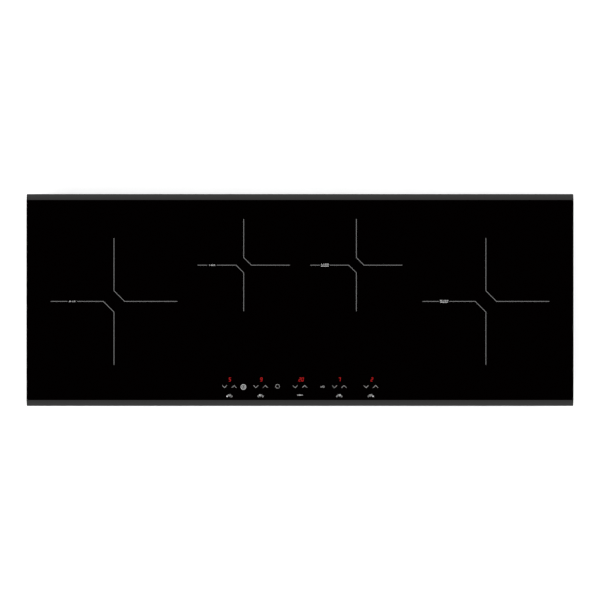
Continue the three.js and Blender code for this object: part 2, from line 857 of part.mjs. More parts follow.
// Parts stand on the board on both sides of the heat sink: a place as a share of the strip
// beside the sink, a size, and a height as a share of the room under the coil plate
function makePowerBoard() {
  const strip = (boardWidth - sinkWidth) / 2;
  const room = plateBottom - partTopGap - boardTop;
  const at = (side, share) => side * (sinkWidth / 2 + strip * share);
  const along = (share) => (share * boardDepth) / 2;
  const base = boardTop - boardThickness / 2;
  const pieces = [slab(0, 0, boardWidth, boardDepth, boardBottom, boardTop)];
  const cans = [
    { side: 1, x: 0.27, y: 0.6, radius: 9, height: 1 },
    { side: 1, x: 0.57, y: 0.6, radius: 9, height: 1 },
    { side: -1, x: 0.28, y: 0.55, radius: 12, height: 0.8 },
    { side: -1, x: 0.66, y: 0.55, radius: 12, height: 0.8 },
  ];
  for (const { side, x, y, radius, height } of cans) {
    pieces.push(cylinder(at(side, x), along(y), radius, base, boardTop + room * height, 12));
  }
  const boxes = [
    { side: 1, x: 0.32, y: 0.1, width: 26, depth: 18, height: 0.9 },
    { side: 1, x: 0.32, y: -0.35, width: 30, depth: 14, height: 0.7 },
    { side: 1, x: 0.75, y: -0.1, width: 14, depth: 30, height: 0.65 },
    { side: 1, x: 0.45, y: -0.8, width: 50, depth: 10, height: 0.4 },
    { side: -1, x: 0.3, y: -0.05, width: 32, depth: 20, height: 0.95 },
    { side: -1, x: 0.72, y: -0.05, width: 20, depth: 30, height: 0.5 },
    { side: -1, x: 0.45, y: -0.62, width: 60, depth: 12, height: 0.4 },
  ];
  for (const { side, x, y, width, depth, height } of boxes) {
    pieces.push(slab(at(side, x), along(y), width, depth, base, boardTop + room * height));
  }
  return union(pieces);
}

// The heat sink is one extrusion: a base with upright fins
function makeHeatSink() {
  const bottom = boardTop + fitGap;
  const top = plateBottom - sinkTopGap;
  const baseTop = bottom + sinkBase;
  const half = sinkWidth / 2;
  const pitch = (sinkWidth - finThickness) / (finCount - 1);
  const points = [[-half, bottom], [half, bottom], [half, top]];
  for (let i = finCount - 1; i > 0; i -= 1) {
    const inner = -half + i * pitch;
    const next = inner - pitch + finThickness;
    points.push([inner, top], [inner, baseTop], [next, baseTop], [next, top]);
  }
  points.push([-half, top]);
  const halfLength = boardDepth / 2 - sinkEndMargin;
  return drawnAlongY(polygon(points), -halfLength, halfLength);
}

// Blowers: the scroll case, the impeller on the motor's shaft, and the cover that holds the motor
const caseFloor = onFloor + blowerWall;
const impellerBottom = caseFloor + impellerClearance;
const discBottom = impellerBottom + bladeHeight;
const discTop = discBottom + discThickness;
const caseTop = discTop + impellerClearance;
const cupBottom = impellerBottom + impellerClearance;
const cupRadius = motorRadius + motorGap;

function scrollShape(wall, reach) {
  const first = tongueAngle(wall);
  const shape = new THREE.Shape();
  shape.moveTo(-(scrollEnd - outletWidth - wall), -reach);
  for (let i = 0; i <= scrollSteps; i += 1) {
    const angle = first + ((Math.PI - first) * i) / scrollSteps;
    const radius = scrollRadius(angle) + wall;
    shape.lineTo(radius * Math.cos(angle), radius * Math.sin(angle));
  }
  shape.lineTo(-scrollEnd - wall, -reach);
  return shape;
}

function makeBlowerCase() {
  const outside = raised(scrollShape(blowerWall, outletReach), onFloor, caseTop);
  const inside = raised(scrollShape(0, outletReach + 1), caseFloor, caseTop + 1);
  const inlet = cylinder(0, 0, blowerInletRadius, onFloor - 1, caseFloor + 1, 24);
  return outside.subtract(inside).subtract(inlet);
}

function makeBlowerCover() {
  const bottom = caseTop + fitGap;
  const lid = raised(scrollShape(blowerWall, outletReach), bottom, bottom + blowerWall);
  const motor = cylinder(0, 0, motorRadius, cupBottom + cupWall + fitGap, bottom + blowerWall, 20);
  const shaft = cylinder(0, 0, shaftRadius, cupBottom - 1, bottom, 12);
  return lid.add(motor).add(shaft);
}

// A blade leans forward as it goes out; its sides are drawn at a constant thickness
function bladeShape() {
  const steps = 2;
  const outer = impellerRadius - bladeThickness / 2;
  const front = [];
  const back = [];
  for (let i = 0; i <= steps; i += 1) {
    const share = i / steps;
    const radius = bladeInnerRadius + (outer - bladeInnerRadius) * share;
    const angle = bladeSweep * share * share;
    const half = bladeThickness / 2 / radius;
    front.push([radius * Math.cos(angle + half), radius * Math.sin(angle + half)]);
    back.unshift([radius * Math.cos(angle - half), radius * Math.sin(angle - half)]);
  }
  return polygon([...back, ...front]);
}

function makeImpeller() {
  const bore = shaftRadius + fitGap;
  const cupOuter = cupRadius + cupWall;
  let impeller = revolve(
    [
      [bore, cupBottom],
      [cupOuter, cupBottom],
      [cupOuter, discBottom],
      [impellerRadius, discBottom],
      [impellerRadius, discTop],
      [cupRadius, discTop],
      [cupRadius, cupBottom + cupWall],
      [bore, cupBottom + cupWall],
      [bore, cupBottom],
    ],
    24,
  );
  const blade = raised(bladeShape(), impellerBottom, discBottom + discThickness / 2);
  for (let i = 0; i < bladeCount; i += 1) {
    impeller = impeller.add(blade.rotate([0, 0, (i * 360) / bladeCount]));
  }
  const ringTop = impellerBottom + bladeThickness;
  return impeller.add(pipe(impellerRadius - bladeRing, impellerRadius, impellerBottom, ringTop, 24));
}

function placePowerUnits() {
  const boardTray = geometryOf(makeBoardTray());
  const powerBoard = geometryOf(makePowerBoard());
  const heatSink = geometryOf(makeHeatSink());
  const blowerCase = geometryOf(makeBlowerCase());
  const blowerCover = geometryOf(makeBlowerCover());
  const impeller = geometryOf(makeImpeller());
  for (const [name, side] of sides) {
    const x = side * powerUnitX;
    const blowerX = x + blowerShift;
    place(`board_tray_${name}`, boardTray, blackPlastic, x, boardY);
    place(`power_board_${name}`, powerBoard, boardGreen, x, boardY);
    place(`heat_sink_${name}`, heatSink, aluminium, x, boardY);
    place(`blower_case_${name}`, blowerCase, blackPlastic, blowerX, blowerY);
    place(`blower_cover_${name}`, blowerCover, blackPlastic, blowerX, blowerY);
    place(`impeller_${name}`, impeller, greyPlastic, blowerX, blowerY);
  }
}

placePowerUnits();

// Mains side: filter board on spacers, terminal block over its hatch, cover and cable bush
function makeFilterBoard(width) {
  const bottom = onFloor + filterBoardHeight;
  const top = bottom + boardThickness;
  const base = bottom + boardThickness / 2;
  const room = plateBottom - partTopGap - top;
  const x = width / 2 - boardPostInset;
  const y = filterBoardDepth / 2 - boardPostInset;
  let board = slab(0, 0, width, filterBoardDepth, bottom, top);
  for (const [sideX, sideY] of [[-1, -1], [1, -1], [1, 1], [-1, 1]]) {
    board = board.add(cylinder(sideX * x, sideY * y, boardPostRadius, onFloor, base, 8));
  }
  const choke = pipe(6, 15, base, top + room * 0.7, 16);
  return board
    .add(choke.translate([-width / 5, y / 4, 0]))
    .add(slab(width / 5, y / 3, 32, 14, base, top + room * 0.8))
    .add(slab(width / 5, -y / 3, 26, 12, base, top + room * 0.65))
    .add(slab(-width / 5, -y * 0.7, 40, 10, base, top + room * 0.4));
}

function makeTerminalBlock() {
  const width = hatchWidth + 2 * terminalFoot;
  const footBottom = recessHeight + trayWall + fitGap;
  const bottom = footBottom + terminalFootHeight;
  const top = bottom + terminalHeight;
  let terminal = slab(0, 0, width, terminalDepth, bottom, top);
  for (const side of [-1, 1]) {
    const footX = side * (width - terminalFoot) / 2;
    terminal = terminal.add(slab(footX, 0, terminalFoot, terminalDepth, footBottom, bottom + 1));
  }
  const pitch = width / terminalPoles;
  const pocketDepth = (terminalDepth - terminalRidge) / 2;
  for (let i = 0; i < terminalPoles; i += 1) {
    const x = (i - (terminalPoles - 1) / 2) * pitch;
    for (const side of [-1, 1]) {
      const y = side * (terminalRidge / 2 + pocketDepth / 2 + 0.5);
      const pocket = slab(x, y, pitch - terminalDivider, pocketDepth + 1, bottom + terminalBase, top + 1);
      terminal = terminal.subtract(pocket);
    }
  }
  return terminal;
}

// The cover fills the recess, passes through the hatch and snaps over its edges
function makeTerminalCover() {
  const gap = 2 * fitGap;
  const plateLevel = recessHeight - fitGap;
  const hatchTop = recessHeight + trayWall + fitGap;
  const plug = slab(0, 0, hatchWidth - gap, hatchDepth - gap, plateLevel - 0.5, hatchTop + trayWall);
  const hollow = slab(0, 0, hatchWidth - gap - 4, hatchDepth - gap - 4, plateLevel, hatchTop + 5);
  let cover = slab(0, 0, recessWidth - gap, recessDepth - gap, plateLevel - hatchThickness, plateLevel);
  cover = cover.add(plug.subtract(hollow));
  for (const side of [-1, 1]) {
    const y = (side * (hatchDepth + hatchLip)) / 2;
    cover = cover.add(slab(0, y, hatchLipWidth, 3 * hatchLip, hatchTop, hatchTop + trayWall));
  }
  return cover;
}

// A bush with a flange on each side of the rear wall, its bore along Y
function makeCableBush() {
  const barrel = bushHoleRadius - fitGap;
  const flange = bushHoleRadius + bushFlange;
  const inside = -trayWall - fitGap;
  const outside = fitGap;
  const profile = [
    [bushBoreRadius, inside - bushFlangeThickness],
    [flange, inside - bushFlangeThickness],
    [flange, inside],
    [barrel, inside],
    [barrel, outside],
    [flange, outside],
    [flange, outside + bushFlangeThickness],
    [bushBoreRadius, outside + bushFlangeThickness],
    [bushBoreRadius, inside - bushFlangeThickness],
  ];
  return revolve(profile, 16).rotate([-90, 0, 0]);
}

function placeMains() {
  const filterWidth = 2 * middleHalf - filterLeftMargin - filterRightMargin;
  const filterX = (filterLeftMargin - filterRightMargin) / 2;
  const filterY = hatchY - recessDepth / 2 - filterBoardGap - filterBoardDepth / 2;
  place("filter_board", geometryOf(makeFilterBoard(filterWidth)), boardGreen, filterX, filterY);
  place("terminal_block", geometryOf(makeTerminalBlock()), terminalCream, terminalX, terminalY);
  place("terminal_cover", geometryOf(makeTerminalCover()), blackPlastic, terminalX, hatchY);
  place("cable_bush", geometryOf(makeCableBush()), blackPlastic, terminalX, trayDepth / 2, bushHeight);
}

placeMains();

// Touch controls: a case on the coil plate, the board in it, and a window block up to the glass
const controlCaseFront = -railOuterY + railWall + controlFrontGap;
const controlCaseY = controlCaseFront + controlDepth / 2;
const controlCaseBottom = plateTop + fitGap;
const controlBoardBottom = controlCaseBottom + controlBoardLift;
const controlBoardTop = controlBoardBottom + boardThickness;
const keyY = -railOuterY + railFlange + keySetback;
const digitY = keyY + digitSpacing;
const controlColumns = [-outerColumnX, -innerColumnX, 0, innerColumnX, outerColumnX];
const displays = controlColumns.map((x) => ({
  x: x + digitShift,
  width: x === 0 ? timerDisplayWidth : displayWidth,
}));

function makeControlCase() {
  const top = underGlass - railWall - fitGap;
  const wall = 2 * controlWall;
  const floor = controlCaseBottom + controlWall;
  const outer = slab(0, 0, controlWidth, controlDepth, controlCaseBottom, top);
  const room = slab(0, 0, controlWidth - wall, controlDepth - wall, floor, top + 1);
  let box = outer.subtract(room);
  for (const x of [-controlWidth / 3, 0, controlWidth / 3]) {
    const rib = slab(x, 0, wall, controlDepth - controlWall, floor - 0.5, controlBoardBottom - fitGap);
    box = box.add(rib);
  }
  return box;
}

function makeControlBoard() {
  const inset = 2 * (controlWall + fitGap);
  const base = controlBoardBottom + boardThickness / 2;
  let board = slab(
    0,
    controlCaseY,
    controlWidth - inset,
    controlDepth - inset,
    controlBoardBottom,
    controlBoardTop,
  );
  for (const { x, width } of displays) {
    board = board.add(slab(x, digitY, width, displayDepth, base, underGlass - displayDrop));
  }
  const keys = [ringKeyX, powerKeyX, lockKeyX];
  for (const x of controlColumns) keys.push(x - keyHalfPitch, x + keyHalfPitch);
  for (const x of keys) {
    board = board.add(cylinder(x, keyY, keySpringRadius, base, underGlass, 6));
  }
  return board;
}

function makeLightGuide() {
  const first = displays[0];
  const last = displays[displays.length - 1];
  const left = first.x - first.width / 2 - guideGap - guideMargin;
  const right = last.x + last.width / 2 + guideGap + guideMargin;
  const half = displayDepth / 2 + guideGap + guideMargin;
  const bottom = controlBoardTop + fitGap;
  let guide = block(left, right, digitY - half, digitY + half, bottom, underGlass);
  for (const { x, width } of displays) {
    const gap = 2 * guideGap;
    guide = guide.subtract(slab(x, digitY, width + gap, displayDepth + gap, bottom - 1, underGlass + 1));
  }
  return guide;
}

place("control_case", geometryOf(makeControlCase()), blackPlastic, 0, controlCaseY);
place("control_board", geometryOf(makeControlBoard()), boardGreen);
place("light_guide", geometryOf(makeLightGuide()), blackPlastic);

export default hob;
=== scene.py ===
# %% [markdown]
# # A built-in induction hob, dressed for the camera
# A black glass-ceramic plate lies on a foam tape, and a steel casing full of coils,
# boards and blowers hangs below it. The construction is loaded as a fixed frame of
# named nodes. This lesson gives every node its finish, and models again what gains by
# it: outside the glass, the tape and the fixings, inside the coils, their carriers and
# the boards. The prints and the lit digits are added on the glass.

# %% Load the frame
import json
import math

import bmesh
import bpy
from mathutils import Matrix, Vector


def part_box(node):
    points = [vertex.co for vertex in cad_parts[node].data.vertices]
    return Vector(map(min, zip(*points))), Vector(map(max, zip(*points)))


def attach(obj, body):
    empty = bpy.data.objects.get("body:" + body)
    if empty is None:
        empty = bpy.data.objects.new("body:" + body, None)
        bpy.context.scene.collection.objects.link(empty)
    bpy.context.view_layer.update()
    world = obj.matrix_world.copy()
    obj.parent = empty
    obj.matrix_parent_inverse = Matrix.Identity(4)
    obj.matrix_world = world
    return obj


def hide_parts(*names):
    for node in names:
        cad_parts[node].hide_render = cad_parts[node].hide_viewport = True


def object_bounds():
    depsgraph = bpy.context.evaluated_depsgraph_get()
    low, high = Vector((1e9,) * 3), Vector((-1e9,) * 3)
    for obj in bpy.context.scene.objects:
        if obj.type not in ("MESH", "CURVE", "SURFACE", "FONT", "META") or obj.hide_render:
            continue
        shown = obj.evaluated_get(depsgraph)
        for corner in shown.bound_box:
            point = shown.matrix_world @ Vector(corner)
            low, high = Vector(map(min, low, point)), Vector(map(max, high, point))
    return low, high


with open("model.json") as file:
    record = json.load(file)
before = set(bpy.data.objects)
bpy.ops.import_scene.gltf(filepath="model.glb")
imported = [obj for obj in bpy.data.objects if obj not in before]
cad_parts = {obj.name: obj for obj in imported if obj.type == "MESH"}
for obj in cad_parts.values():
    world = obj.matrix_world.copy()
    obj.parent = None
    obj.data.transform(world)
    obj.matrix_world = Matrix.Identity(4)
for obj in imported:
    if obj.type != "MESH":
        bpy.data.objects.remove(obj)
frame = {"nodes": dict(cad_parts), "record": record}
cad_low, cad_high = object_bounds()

MM = 0.001
HAIR = 0.01 * MM
scene = bpy.context.scene
nodes = frame["nodes"]
print(f"{len(nodes)} nodes in a box of {[round(side / MM) for side in cad_high - cad_low]} mm")

# %% [markdown]
# ## Node trees written as sums
# A finish is a small program made of nodes. Wrapping a node's output in a class that
# knows plus, minus and times lets the program be read as arithmetic. Every other kind
# of node comes from one method, which takes the settings first and then the inputs.


# %% A signal that can be added and multiplied
class Signal:
    """The output of a shader node."""

    def __init__(self, tree, socket):
        self.tree = tree
        self.socket = socket

    def math(self, operation, first, second):
        return self.tree.node("ShaderNodeMath", {"operation": operation}, {0: first, 1: second})

    def __add__(self, other):
        return self.math("ADD", self, other)

    def __sub__(self, other):
        return self.math("SUBTRACT", self, other)

    def __rsub__(self, other):
        return self.math("SUBTRACT", other, self)

    def __mul__(self, other):
        return self.math("MULTIPLY", self, other)

    def __gt__(self, other):
        return self.math("GREATER_THAN", self, other)

    def __lt__(self, other):
        return self.math("LESS_THAN", self, other)

    def size(self):
        return self.math("ABSOLUTE", self, 0.0)

    __radd__ = __add__
    __rmul__ = __mul__


# %% A tree of nodes
class Tree:
    """A node tree with the few calls that the finishes share."""

    def __init__(self, tree):
        self.tree = tree

    def plug(self, socket, value):
        if isinstance(value, Signal):
            self.tree.links.new(value.socket, socket)
        else:
            socket.default_value = value

    def node(self, kind, settings=None, inputs=None, output=0):
        made = self.tree.nodes.new(kind)
        for name, value in (settings or {}).items():
            setattr(made, name, value)
        for name, value in (inputs or {}).items():
            self.plug(made.inputs[name], value)
        return Signal(self, made.outputs[output])

    def place(self, scale=(1, 1, 1)):
        """The point on the piece in metres, stretched by scale."""
        point = self.node("ShaderNodeTexCoord", output="Object")
        return self.node("ShaderNodeMapping", None, {"Vector": point, "Scale": scale})

    def axis(self, name):
        return self.node("ShaderNodeSeparateXYZ", None, {"Vector": self.place()}, name)

    def noise(self, scale, detail=2.0, stretch=(1, 1, 1)):
        inputs = {"Vector": self.place(stretch), "Scale": scale, "Detail": detail}
        return self.node("ShaderNodeTexNoise", None, inputs, "Fac")

    def cells(self, scale, output="Distance", feather=0.0):
        """How far the middle of a Voronoi cell is, or one channel of the cell's colour.

        Feather bends the borders by that many metres."""
        point = self.place()
        if feather:
            fine = {"Vector": point, "Scale": 400.0}
            bend = self.node("ShaderNodeTexNoise", None, fine, "Color")
            bent = {0: bend, 1: (feather, feather, feather), 2: point}
            point = self.node("ShaderNodeVectorMath", {"operation": "MULTIPLY_ADD"}, bent)
        inputs = {"Vector": point, "Scale": scale}
        if output == "Distance":
            return self.node("ShaderNodeTexVoronoi", None, inputs, output)
        colour = self.node("ShaderNodeTexVoronoi", None, inputs, "Color")
        return self.node("ShaderNodeSeparateColor", None, {"Color": colour}, output)

    def bricks(self, scale, turn):
        """The joints of a brick bond, turned by some radians about Z."""
        mapped = {"Vector": self.place(), "Rotation": (0, 0, turn)}
        point = self.node("ShaderNodeMapping", None, mapped)
        joint = {"Mortar Size": 0.035, "Brick Width": 1.1, "Row Height": 0.2}
        inputs = {"Vector": point, "Scale": scale, **joint}
        return self.node("ShaderNodeTexBrick", {"offset": 0.37}, inputs, "Fac")

    def band(self, signal, low, high, first=0.0, last=1.0):
        """A soft step from first to last while the signal goes from low to high."""
        inputs = {"Value": signal, "From Min": low, "From Max": high}
        inputs.update({"To Min": first, "To Max": last})
        return self.node("ShaderNodeMapRange", {"interpolation_type": "SMOOTHSTEP"}, inputs)

    def mix(self, factor, first, second):
        """A colour between first and second."""
        inputs = {0: factor, 6: (*first, 1) if isinstance(first, tuple) else first}
        inputs[7] = (*second, 1) if isinstance(second, tuple) else second
        return self.node("ShaderNodeMix", {"data_type": "RGBA"}, inputs, 2)

    def bump(self, height, distance, strength=1.0):
        inputs = {"Height": height, "Distance": distance, "Strength": strength}
        return self.node("ShaderNodeBump", None, inputs)

    def rays(self):
        """Three masks: seen by the camera, in a mirror, and through something clear."""
        kinds = ("Is Camera Ray", "Is Glossy Ray", "Is Transmission Ray")
        return [self.node("ShaderNodeLightPath", output=kind) for kind in kinds]


# %% A finish is a tree that ends in one shader
class Finish(Tree):
    """A material, and what its shader is given."""

    def __init__(self, name, **inputs):
        self.material = bpy.data.materials.new(name)
        self.material.use_nodes = True
        super().__init__(self.material.node_tree)
        self.shader = self.tree.nodes["Principled BSDF"]
        self.give(**inputs)

    def give(self, **inputs):
        for name, value in inputs.items():
            words = name.replace("_", " ").title().replace("Ior", "IOR")
            if isinstance(value, tuple) and len(value) == 3:
                value = (*value, 1)
            self.plug(self.shader.inputs[words], value)


# %% [markdown]
# ## Black glass-ceramic
# The plate is opaque and polished like a mirror, so its look is almost all reflection.
# Its long edges are ground to a wide slope, which is left a little rougher. The slope
# also gets a touch of grey, more towards the rim, which is painted reflection.
# The underside carries a matt black coat, which hides the coils from above.

# %% Glass finish
glass_low, glass_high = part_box("cooktop_glass")
bevel_width = 9.9 * MM
bevel_drop = 2.3 * MM
bevel_start = glass_high.y - bevel_width

glass_finish = Finish("glass_black", metallic=0.0, ior=1.46)
across = glass_finish.axis("Y").size()
on_slope = across > bevel_start
towards_rim = glass_finish.band(across, bevel_start, glass_high.y)
# Painted reflection: grey base colour on the slope, lighter towards the rim.
painted_slope_reflection = on_slope * (towards_rim * 0.95 + 0.05)
coated = glass_finish.axis("Z") < glass_low.z + 0.05 * MM
coat_grain = glass_finish.noise(1400.0, detail=3.0)
polish = on_slope * 0.06 + glass_finish.noise(9.0) * 0.01 + 0.03
glass_finish.give(
    base_color=glass_finish.mix(painted_slope_reflection, (0.0006, 0.0002, 0.0002), (0.0125, 0.0122, 0.0124)),
    roughness=polish + coated * (coat_grain * 0.2 + 0.45),
)
print("glass slope", round(math.degrees(math.atan2(bevel_drop, bevel_width)), 1), "degrees")

# %% [markdown]
# ## Ink and light
# The prints are enamel fired on the glass, grey for the zones and nearly white for the
# key signs and numbers. The digits are lit from below through the plate, so they glow
# and carry the glass's gloss.


# %% Ink and light finishes
def enamel(name, dark, light):
    finish = Finish(name, roughness=0.45)
    grain = finish.noise(2500.0, detail=3.0)
    finish.give(base_color=finish.mix(grain, (dark, dark, dark), (light, light, light)))
    return finish


zone_enamel = enamel("grey_enamel", 0.2, 0.245)
sign_enamel = enamel("light_enamel", 0.58, 0.68)

digit_finish = Finish("lit_digit", base_color=(0.01, 0.001, 0.001), roughness=0.04)
glow = digit_finish.noise(900.0)
digit_finish.give(
    emission_color=digit_finish.mix(glow, (0.46, 0.015, 0.016), (0.54, 0.0175, 0.0185)),
    emission_strength=1.0,
)

# %% [markdown]
# ## Metals
# Hot-dip galvanised sheet shows a spangle: patches of zinc crystals a centimetre wide,
# each a little lighter or duller than its neighbour, with feathered borders and fine
# ridges like frost inside. Voronoi cells give that patchwork, bent a little by noise.
# Plated screws and mill aluminium are plainer, with fine noise along the rolling line.

# %% Steel, zinc and aluminium finishes
galvanised = Finish("galvanised_steel", metallic=1.0)
tone = galvanised.cells(85.0, "Red", feather=5 * MM)
frost = galvanised.cells(520.0, feather=2 * MM)
drift = galvanised.noise(14.0)
shade = tone * 0.55 + frost * 0.3 + drift * 0.3
galvanised.give(
    base_color=galvanised.mix(shade, (0.42, 0.44, 0.46), (0.62, 0.64, 0.65)),
    roughness=tone * 0.14 + frost * 0.14 + 0.28,
    normal=galvanised.bump(frost + tone * 0.4, 0.00005, 0.6),
)

zinc = Finish("zinc_steel", metallic=1.0)
cloud = zinc.noise(260.0, detail=4.0)
zinc.give(
    base_color=zinc.mix(cloud, (0.52, 0.53, 0.52), (0.68, 0.67, 0.62)),
    roughness=zinc.noise(900.0) * 0.2 + 0.22,
    normal=zinc.bump(zinc.noise(1800.0), 0.00003, 0.5),
)

aluminium = Finish("aluminium_sheet", metallic=1.0)
rolling = aluminium.noise(260.0, detail=4.0, stretch=(0.06, 1, 1))
aluminium.give(
    base_color=aluminium.mix(rolling, (0.62, 0.63, 0.64), (0.76, 0.77, 0.78)),
    roughness=rolling * 0.25 + 0.25,
    normal=aluminium.bump(rolling, 0.00004, 0.5),
)

# %% [markdown]
# ## Plastics, foam, mica and copper
# Moulded parts have a fine spark-eroded texture, foam has open pores, mica paper has
# flakes, and the litz wire is a rope of enamelled strands that twist round each other.
# The twist follows the wire, so it is drawn on the wire's own map: metres along it, and
# shares of a turn round it.


# %% A moulded finish
def moulded(name, dark, light, roughness, grain_size=0.7 * MM):
    finish = Finish(name)
    grain = finish.noise(1 / grain_size, detail=3.0)
    patch = finish.noise(25.0)
    finish.give(
        base_color=finish.mix(patch, dark, light),
        roughness=grain * 0.18 + roughness,
        normal=finish.bump(grain, 0.00004, 0.5),
    )
    return finish


black_plastic = moulded("black_plastic", (0.02, 0.021, 0.022), (0.03, 0.031, 0.033), 0.36)
grey_plastic = moulded("grey_plastic", (0.1, 0.105, 0.11), (0.13, 0.135, 0.14), 0.42)
white_nylon = moulded("white_nylon", (0.62, 0.6, 0.53), (0.7, 0.68, 0.62), 0.4)
ferrite = moulded("ferrite", (0.035, 0.035, 0.037), (0.05, 0.05, 0.052), 0.5, 0.3 * MM)
terminal_cream = moulded("terminal_cream", (0.56, 0.52, 0.4), (0.63, 0.59, 0.47), 0.35)

# %% Foam, mica and litz finishes
foam = Finish("foam_black", roughness=0.9)
pores = foam.cells(1600.0)
# Painted shade: each pore is coloured darker towards its pit.
foam.give(
    base_color=foam.mix(pores, (0.006, 0.006, 0.006), (0.024, 0.024, 0.025)),
    normal=foam.bump(pores, 0.0003, 0.7),
)

mica = Finish("mica")
flake = mica.cells(320.0, "Green")
mica.give(
    base_color=mica.mix(flake, (0.36, 0.29, 0.17), (0.55, 0.47, 0.32)),
    roughness=flake * 0.3 + 0.3,
    normal=mica.bump(flake, 0.00005, 0.4),
)

litz = Finish("copper_litz", metallic=1.0, coat_weight=0.6, coat_roughness=0.15)
strand_count = 9
twist_length = 38 * MM
wire_map = litz.node("ShaderNodeUVMap", {"uv_map": "along_wire"})
along = litz.node("ShaderNodeSeparateXYZ", None, {"Vector": wire_map}, "X")
around = litz.node("ShaderNodeSeparateXYZ", None, {"Vector": wire_map}, "Y")
twisted = around * strand_count + along * (strand_count / twist_length)
groove = (litz.node("ShaderNodeMath", {"operation": "FRACT"}, {0: twisted}) - 0.5).size()
# Painted shade: the copper is coloured dark in the grooves where the strands meet.
litz.give(
    base_color=litz.mix(litz.band(groove, 0.25, 0.5), (0.56, 0.2, 0.075), (0.2, 0.05, 0.02)),
    roughness=groove * 0.4 + 0.25,
    normal=litz.bump(litz.band(groove, 0.1, 0.5, 1.0, 0.0), 0.0003, 0.8),
)

enamelled_wire = Finish("enamelled_wire", metallic=1.0, coat_weight=0.7, coat_roughness=0.1)
sheen = enamelled_wire.noise(300.0)
enamelled_wire.give(
    base_color=enamelled_wire.mix(sheen, (0.4, 0.12, 0.04), (0.58, 0.2, 0.07)),
    roughness=sheen * 0.15 + 0.22,
)

# %% [markdown]
# ## Solder mask
# Copper tracks run under the green lacquer of a board, along it in one place and across
# it in the next, and they show as lines that are lighter and a little raised. The joints
# of a brick bond are such lines: two bonds at right angles share the board in patches.

# %% Board finish
board_green = Finish("board_green")
lengthwise = board_green.cells(38.0, "Red") > 0.5
tracks_along = board_green.bricks(70.0, 0.0)
tracks_across = board_green.bricks(52.0, math.pi / 2)
track = lengthwise * tracks_along + (1 - lengthwise) * tracks_across
board_green.give(
    base_color=board_green.mix(track, (0.008, 0.06, 0.024), (0.024, 0.14, 0.055)),
    roughness=board_green.noise(600.0) * 0.1 + 0.25,
    normal=board_green.bump(track, 0.00004, 0.6),
)

# %% [markdown]
# ## Dressing the carried-over nodes
# A node whose shape is right as it is only needs its finish. The names carry the kind
# of piece at their start, so one table of starts dresses them all.

# %% Give each node its finish
finishes_by_start = {
    "base_tray": galvanised,
    "rail_": galvanised,
    "casing_screw_": zinc,
    "clamp_": zinc,
    "coil_plate": aluminium,
    "heat_sink_": aluminium,
    "sensor_": aluminium,
    "carrier_": white_nylon,
    "insulator_": mica,
    "winding_": litz,
    "seal_": foam,
    "impeller_": grey_plastic,
    "terminal_block": terminal_cream,
    "power_board_": board_green,
    "filter_board": board_green,
    "control_board": board_green,
    "cooktop_glass": glass_finish,
}


def finish_of(name):
    for start, finish in finishes_by_start.items():
        if name.startswith(start):
            return finish
    return black_plastic


for name, node in nodes.items():
    node.data.materials.clear()
    node.data.materials.append(finish_of(name).material)
print("dressed", len(nodes), "nodes")

# %% [markdown]
# ## From a bmesh to a piece
# Every modelled piece ends the same way: its bmesh becomes a mesh in place, with its
# finish, and it rides on the body of the node that it stands for. The record says which
# body that is.

# %% Make a piece
bodies = frame["record"]["behaviour"]["bodies"]
body_of = {name: body for body, names in bodies.items() for name in names}


def make_piece(name, shape, node=None, finish=None, smooth_below=None):
    """Turn a bmesh into a piece that stands for a node, or with none is added to the root.

    Faces that meet below smooth_below degrees look round."""
    mesh = bpy.data.meshes.new(name)
    shape.to_mesh(mesh)
    shape.free()
    mesh.materials.append((finish or finish_of(node)).material)
    if smooth_below:
        mesh.shade_smooth()
        mesh.set_sharp_from_angle(angle=math.radians(smooth_below))
    piece = bpy.data.objects.new(name, mesh)
    scene.collection.objects.link(piece)
    body = body_of[node] if node else "root"
    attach(piece, body)
    if node:
        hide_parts(node)
    print(f"{name}: {len(mesh.polygons)} faces on {body}")
    return piece


def add_modifier(piece, kind, **settings):
    modifier = piece.modifiers.new(kind.title(), kind)
    for name, value in settings.items():
        setattr(modifier, name, value)


def keep_flats_flat(piece):
    """Let the large faces keep their own normals, so that only the rounds look round."""
    add_modifier(piece, "WEIGHTED_NORMAL", keep_sharp=True)


# %% [markdown]
# ## Strokes that come back
# A few moves are made again and again on a bmesh: cut it, sink a face, round its edges,
# move it to its place. Each has a short name here, so that the pieces below read like
# the steps of making them.

# %% Handle a bmesh
CORNER, EDGE, FACE = bmesh.types.BMVert, bmesh.types.BMEdge, bmesh.types.BMFace


def whole(shape):
    return shape.verts[:] + shape.edges[:] + shape.faces[:]


def only(items, kind):
    """The corners, edges or faces among what an operator made."""
    return [item for item in items if isinstance(item, kind)]


def face_height(face):
    return face.calc_center_median().z


def move(shape, offset):
    bmesh.ops.translate(shape, vec=offset, verts=shape.verts)
    return shape


def rotate(shape, angle, axis="Z"):
    """Turn a shape about an axis through the origin."""
    bmesh.ops.rotate(shape, matrix=Matrix.Rotation(angle, 3, axis), verts=shape.verts)
    return shape


def face_outwards(shape):
    bmesh.ops.recalc_face_normals(shape, faces=shape.faces)
    return shape


def cut(shape, point, normal, clear_outer=True):
    """Cut along a plane, and return what lies in the cut."""
    settings = {"plane_co": point, "plane_no": normal, "clear_outer": clear_outer}
    return bmesh.ops.bisect_plane(shape, geom=whole(shape), **settings)["geom_cut"]


def sink(shape, face, margin, slope, depth):
    """Push a face in by a depth, all but a margin; the new walls lean by the slope."""
    bmesh.ops.inset_region(shape, faces=[face], thickness=margin)
    bmesh.ops.inset_region(shape, faces=[face], thickness=slope, depth=-depth)


def thicken(shape, faces, height):
    """Give flat faces a thickness upwards."""
    made = bmesh.ops.extrude_face_region(shape, geom=faces, use_keep_orig=True)["geom"]
    bmesh.ops.translate(shape, vec=(0, 0, height), verts=only(made, CORNER))
    return face_outwards(shape)


